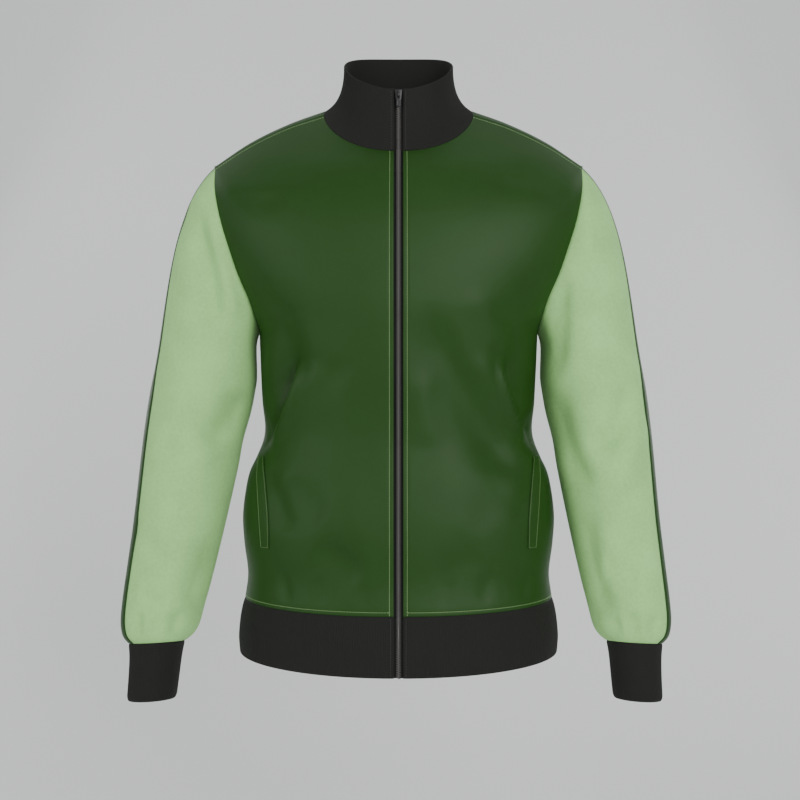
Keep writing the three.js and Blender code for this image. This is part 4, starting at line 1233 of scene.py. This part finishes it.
def put_in_place(block, place, turn):
    """Turns and moves a piece from its own frame in millimetres to its place on the zip."""
    deselect()
    block.select_set(True)
    bpy.context.view_layer.objects.active = block
    bpy.ops.transform.resize(value=(MM, MM, MM), center_override=(0, 0, 0))
    bpy.ops.transform.rotate(value=-turn, orient_axis="X", center_override=(0, 0, 0))
    bpy.ops.transform.translate(value=tuple(value * MM for value in place))
    bpy.ops.object.transform_apply(location=True, rotation=True, scale=True)


# %% Slider
plate_middle = FRONT_FACE - PLATE_THICKNESS / 2
front_size = (SLIDER_WIDTH, PLATE_THICKNESS, SLIDER_HEIGHT)
front_plate = add_block("front plate", (0, plate_middle, 0), front_size, 0)
resize_where(front_plate, lambda at: at.z < 0, (FRONT_TAPER, 1, 1))
bpy.ops.object.mode_set(mode="EDIT")
bpy.ops.mesh.select_all(action="SELECT")
bpy.ops.mesh.bevel(offset=0.42, segments=3, profile=0.5)
bpy.ops.object.mode_set(mode="OBJECT")
back_middle = BACK_FACE + PLATE_THICKNESS / 2
back_size = (BACK_WIDTH, PLATE_THICKNESS, SLIDER_HEIGHT)
back_plate = add_block("back plate", (0, back_middle, 0), back_size, 0.4)
resize_where(back_plate, lambda at: at.z < 0, (BACK_TAPER, 1, 1))
post_length = BACK_FACE - FRONT_FACE + PLATE_THICKNESS
post = add_block("post", (0, (BACK_FACE + FRONT_FACE) / 2, SLIDER_HEIGHT / 2 - POST_WIDTH / 2),
                 (POST_WIDTH, post_length, POST_WIDTH), 0.3)
deselect()
plate_top = FRONT_FACE - PLATE_THICKNESS
bpy.ops.mesh.primitive_torus_add(
    major_radius=CROWN_RADIUS, minor_radius=CROWN_WIRE, major_segments=48, minor_segments=14,
    location=(0, plate_top, 0), rotation=(0, math.pi / 2, 0))
crown = bpy.context.object
bpy.ops.transform.resize(value=(CROWN_STRETCH, CROWN_SQUASH, 1), center_override=(0, plate_top, 0))
bpy.ops.object.transform_apply(location=True, rotation=True, scale=True)
bpy.ops.object.mode_set(mode="EDIT")
bpy.ops.mesh.select_all(action="SELECT")
cut_at = (0, plate_top + CROWN_SUNK, 0)
bpy.ops.mesh.bisect(plane_co=cut_at, plane_no=(0, 1, 0), clear_outer=True, use_fill=True)
bpy.ops.object.mode_set(mode="OBJECT")
slider = join([front_plate, back_plate, post, crown], "slider")
put_in_place(slider, SLIDER_PLACE, SLIDER_TURN)
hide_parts("zip_slider")
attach(slider, "jacket")
trim_pieces.append((slider, "metal"))
print("slider size in mm:", [round(side * 1000, 1) for side in slider.dimensions])

# %% Pull tab with an eye and a sunken grip
tab_middle = TAB_THICKNESS / 2 - TAB_LENGTH / 2
tab = add_block("pull tab", (0, 0, tab_middle), (TAB_WIDTH, TAB_THICKNESS, TAB_LENGTH), 0)
resize_where(tab, lambda at: at.z > -1, (TAB_TOP_TAPER, 1, 1))
apply_modifier(tab, "BEVEL", width=0.36, segments=3, limit_method="NONE")
eye_middle = -TAB_THICKNESS / 2 - TAB_EYE[1] / 2
eye = add_block("eye", (0, 0, eye_middle), (TAB_EYE[0], 4, TAB_EYE[1]), 0)
apply_modifier(eye, "BEVEL", width=0.7, segments=3, limit_method="ANGLE")
grip_depth = TAB_THICKNESS / 2 + 0.35
grips = [add_block("grip", (0, side * grip_depth, GRIP_HEIGHT), GRIP_SIZE, 0.3) for side in (-1, 1)]
for cutter in [eye] + grips:
    apply_modifier(tab, "BOOLEAN", object=cutter, operation="DIFFERENCE", solver="EXACT")
    bpy.data.objects.remove(cutter)
tab = join([tab], "pull_tab_cast")
put_in_place(tab, TAB_PLACE, SLIDER_TURN)
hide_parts("zip_pull")
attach(tab, "pull_tab")
trim_pieces.append((tab, "metal"))
print("pull tab size in mm:", [round(side * 1000, 1) for side in tab.dimensions])

# %% [markdown]
# ## Cloth finishes
# Knit cloth is never one flat colour. Its loops make tiny shadows, its fibres scatter light
# at grazing angles, which is sheen, and a slow variation runs through the dye and the nap.
# One node group makes the loops of a knit from the UV map, because the map is in metres and
# follows the cloth. The other group makes a mottle, slow with a fine one on it, from the
# object's coordinates.

# %% Colours of the finishes


def linear(red, green, blue):
    """A colour as seen on a screen, 0 to 255, as the linear values that shaders use."""
    values = (value / 255 for value in (red, green, blue))
    return tuple(v / 12.92 if v <= 0.04045 else ((v + 0.055) / 1.055) ** 2.4 for v in values) + (1,)


DARK_GREEN = linear(27, 61, 12)
LIGHT_GREEN = linear(153, 206, 128)
BLACK_KNIT = linear(32, 32, 30)
TAPE_GREY = linear(34, 34, 33)
TEETH_GREY = linear(76, 74, 72)
METAL_GREY = linear(60, 60, 60)
THREAD_GREEN = linear(152, 184, 124)

# %% Node groups shared by the finishes


def new_group(name, inputs, outputs):
    group = bpy.data.node_groups.new(name, "ShaderNodeTree")
    for direction, sockets in (("INPUT", inputs), ("OUTPUT", outputs)):
        for socket_name, kind, value in sockets:
            socket = group.interface.new_socket(socket_name, in_out=direction, socket_type=kind)
            if value is not None:
                socket.default_value = value
    return group, group.nodes.new("NodeGroupInput"), group.nodes.new("NodeGroupOutput")


def node(tree, kind, inputs=None, **settings):
    """A node with its settings, and its inputs given as values or as sockets to link from."""
    made = tree.nodes.new(kind)
    for name, value in settings.items():
        setattr(made, name, value)
    for name, value in (inputs or {}).items():
        if isinstance(value, bpy.types.NodeSocket):
            tree.links.new(value, made.inputs[name])
        else:
            made.inputs[name].default_value = value
    return made


def math_node(tree, operation, first, second=0.0, third=0.0):
    made = tree.nodes.new("ShaderNodeMath")
    made.operation = operation
    for socket, value in zip(made.inputs, (first, second, third)):
        if isinstance(value, bpy.types.NodeSocket):
            tree.links.new(value, socket)
        else:
            socket.default_value = value
    return made.outputs["Value"]


def knit_loops_group():
    """Columns of V-shaped loops, as heights from 0 to 1, from UV coordinates in metres."""
    group, given, result = new_group(
        "knit loops",
        [("UV", "NodeSocketVector", None), ("Loop Width", "NodeSocketFloat", 0.0009),
         ("Loop Height", "NodeSocketFloat", 0.0007)],
        [("Height", "NodeSocketFloat", None)])
    parts = node(group, "ShaderNodeSeparateXYZ", {"Vector": given.outputs["UV"]})
    across = math_node(group, "DIVIDE", parts.outputs["X"], given.outputs["Loop Width"])
    along = math_node(group, "DIVIDE", parts.outputs["Y"], given.outputs["Loop Height"])
    in_column = math_node(group, "PINGPONG", across, 0.5)
    slant = math_node(group, "MULTIPLY", in_column, 1.6)
    turned = math_node(group, "ADD", along, slant)
    leg = math_node(group, "SINE", math_node(group, "MULTIPLY", turned, 2 * math.pi))
    leg_height = math_node(group, "MULTIPLY_ADD", leg, 0.5, 0.5)
    wale = math_node(group, "SINE", math_node(group, "MULTIPLY", in_column, 2 * math.pi))
    height = math_node(group, "MULTIPLY_ADD", leg_height, 0.45, math_node(group, "MULTIPLY", wale, 0.55))
    group.links.new(height, result.inputs["Height"])
    return group


def mottle_group():
    """A slow variation with a fine one on it, round 1, to multiply a colour by."""
    group, given, result = new_group(
        "cloth mottle",
        [("Vector", "NodeSocketVector", None), ("Strength", "NodeSocketFloat", 0.1)],
        [("Factor", "NodeSocketFloat", None)])
    place = given.outputs["Vector"]
    slow = node(group, "ShaderNodeTexNoise", {"Vector": place, "Scale": 24.0, "Detail": 4.0})
    fine = node(group, "ShaderNodeTexNoise", {"Vector": place, "Scale": 260.0, "Detail": 3.0})
    both = math_node(group, "MULTIPLY_ADD", fine.outputs["Fac"], 0.8, slow.outputs["Fac"])
    centred = math_node(group, "SUBTRACT", both, 0.9)
    factor = math_node(group, "MULTIPLY_ADD", centred, given.outputs["Strength"], 1.0)
    group.links.new(factor, result.inputs["Factor"])
    return group


knit_loops = knit_loops_group()
cloth_mottle = mottle_group()

# %% Materials


def group_node(tree, group, inputs):
    return node(tree, "ShaderNodeGroup", inputs, node_tree=group)


def new_material(name):
    material = bpy.data.materials.new(name)
    material.use_nodes = True
    tree = material.node_tree
    return material, tree, tree.nodes["Principled BSDF"]


def tinted(tree, colour, factor):
    """The colour, scaled by a factor from a node."""
    scaled = node(tree, "ShaderNodeVectorMath", operation="SCALE")
    scaled.inputs[0].default_value = colour[:3]
    tree.links.new(factor, scaled.inputs["Scale"])
    return scaled.outputs["Vector"]


def cloth_material(name, colour, roughness, sheen, sheen_roughness, loops, bump, mottle, specular=0.5):
    material, tree, shader = new_material(name)
    coordinates = tree.nodes.new("ShaderNodeTexCoord")
    uv = node(tree, "ShaderNodeUVMap", uv_map="cloth")
    slow = group_node(tree, cloth_mottle, {"Vector": coordinates.outputs["Object"], "Strength": mottle})
    knit = group_node(tree, knit_loops, {
        "UV": uv.outputs["UV"], "Loop Width": loops[0] * MM, "Loop Height": loops[1] * MM})
    shade = math_node(tree, "MULTIPLY_ADD", knit.outputs["Height"], 0.16, 0.92)
    factor = math_node(tree, "MULTIPLY", slow.outputs["Factor"], shade)
    tree.links.new(tinted(tree, colour, factor), shader.inputs["Base Color"])
    raised = node(tree, "ShaderNodeBump", {
        "Height": knit.outputs["Height"], "Strength": bump, "Distance": 0.0002})
    tree.links.new(raised.outputs["Normal"], shader.inputs["Normal"])
    shader.inputs["Roughness"].default_value = roughness
    shader.inputs["Specular IOR Level"].default_value = specular
    shader.inputs["Sheen Weight"].default_value = sheen
    shader.inputs["Sheen Roughness"].default_value = sheen_roughness
    return material


def hard_material(name, colour, roughness, metallic, grain):
    material, tree, shader = new_material(name)
    coordinates = tree.nodes.new("ShaderNodeTexCoord")
    speckle = node(tree, "ShaderNodeTexNoise", {
        "Vector": coordinates.outputs["Object"], "Scale": 900.0, "Detail": 3.0})
    factor = math_node(tree, "MULTIPLY_ADD", speckle.outputs["Fac"], grain, 1 - grain / 2)
    tree.links.new(tinted(tree, colour, factor), shader.inputs["Base Color"])
    rough = math_node(tree, "MULTIPLY_ADD", speckle.outputs["Fac"], 0.2, roughness - 0.1)
    tree.links.new(rough, shader.inputs["Roughness"])
    shader.inputs["Metallic"].default_value = metallic
    return material


finishes = {
    "front": cloth_material("satin jersey", DARK_GREEN, 0.47, 0.01, 0.3, (0.95, 0.75), 0.3, 0.14, 0.22),
    "sleeve": cloth_material("matt jersey", LIGHT_GREEN, 0.8, 0.06, 0.5, (0.95, 0.75), 0.6, 0.3, 0.2),
    "rib": cloth_material("rib knit", BLACK_KNIT, 0.8, 0.03, 0.5, (1.35, 0.9), 0.5, 0.1, 0.12),
    "tape": cloth_material("woven tape", TAPE_GREY, 0.8, 0.02, 0.5, (0.6, 0.6), 0.4, 0.05, 0.12),
    "thread": hard_material("polyester thread", THREAD_GREEN, 0.55, 0.0, 0.2),
    "dark_thread": hard_material("black thread", linear(58, 58, 56), 0.55, 0.0, 0.2),
    "teeth": hard_material("moulded teeth", TEETH_GREY, 0.42, 0.0, 0.06),
    "metal": hard_material("painted slider", METAL_GREY, 0.36, 0.85, 0.06),
}


def finish_with(piece, finish):
    piece.data.materials.clear()
    piece.data.materials.append(finishes[finish])


for name, piece in cloth_pieces.items():
    kind = "front"
    if name.startswith(("sleeve_front", "sleeve_back")):
        kind = "sleeve"
    elif name.startswith(("collar", "hem_band", "cuff")):
        kind = "rib"
    finish_with(piece, "tape" if name.startswith("zip_tape") else kind)
for piece, finish in trim_pieces:
    finish_with(piece, finish)

studio_paint, studio_tree, studio_shader = new_material("studio paper")
paper_noise = node(studio_tree, "ShaderNodeTexNoise", {"Scale": 3.0, "Detail": 2.0})
paper_factor = math_node(studio_tree, "MULTIPLY_ADD", paper_noise.outputs["Fac"], 0.01, 0.995)
paper_colour = tinted(studio_tree, (0.8, 0.82, 0.81), paper_factor)
studio_tree.links.new(paper_colour, studio_shader.inputs["Base Color"])
studio_shader.inputs["Roughness"].default_value = 0.9
sweep.data.materials.append(studio_paint)
print("finishes:", ", ".join(finishes))

# %% Finish
bpy.context.view_layer.update()
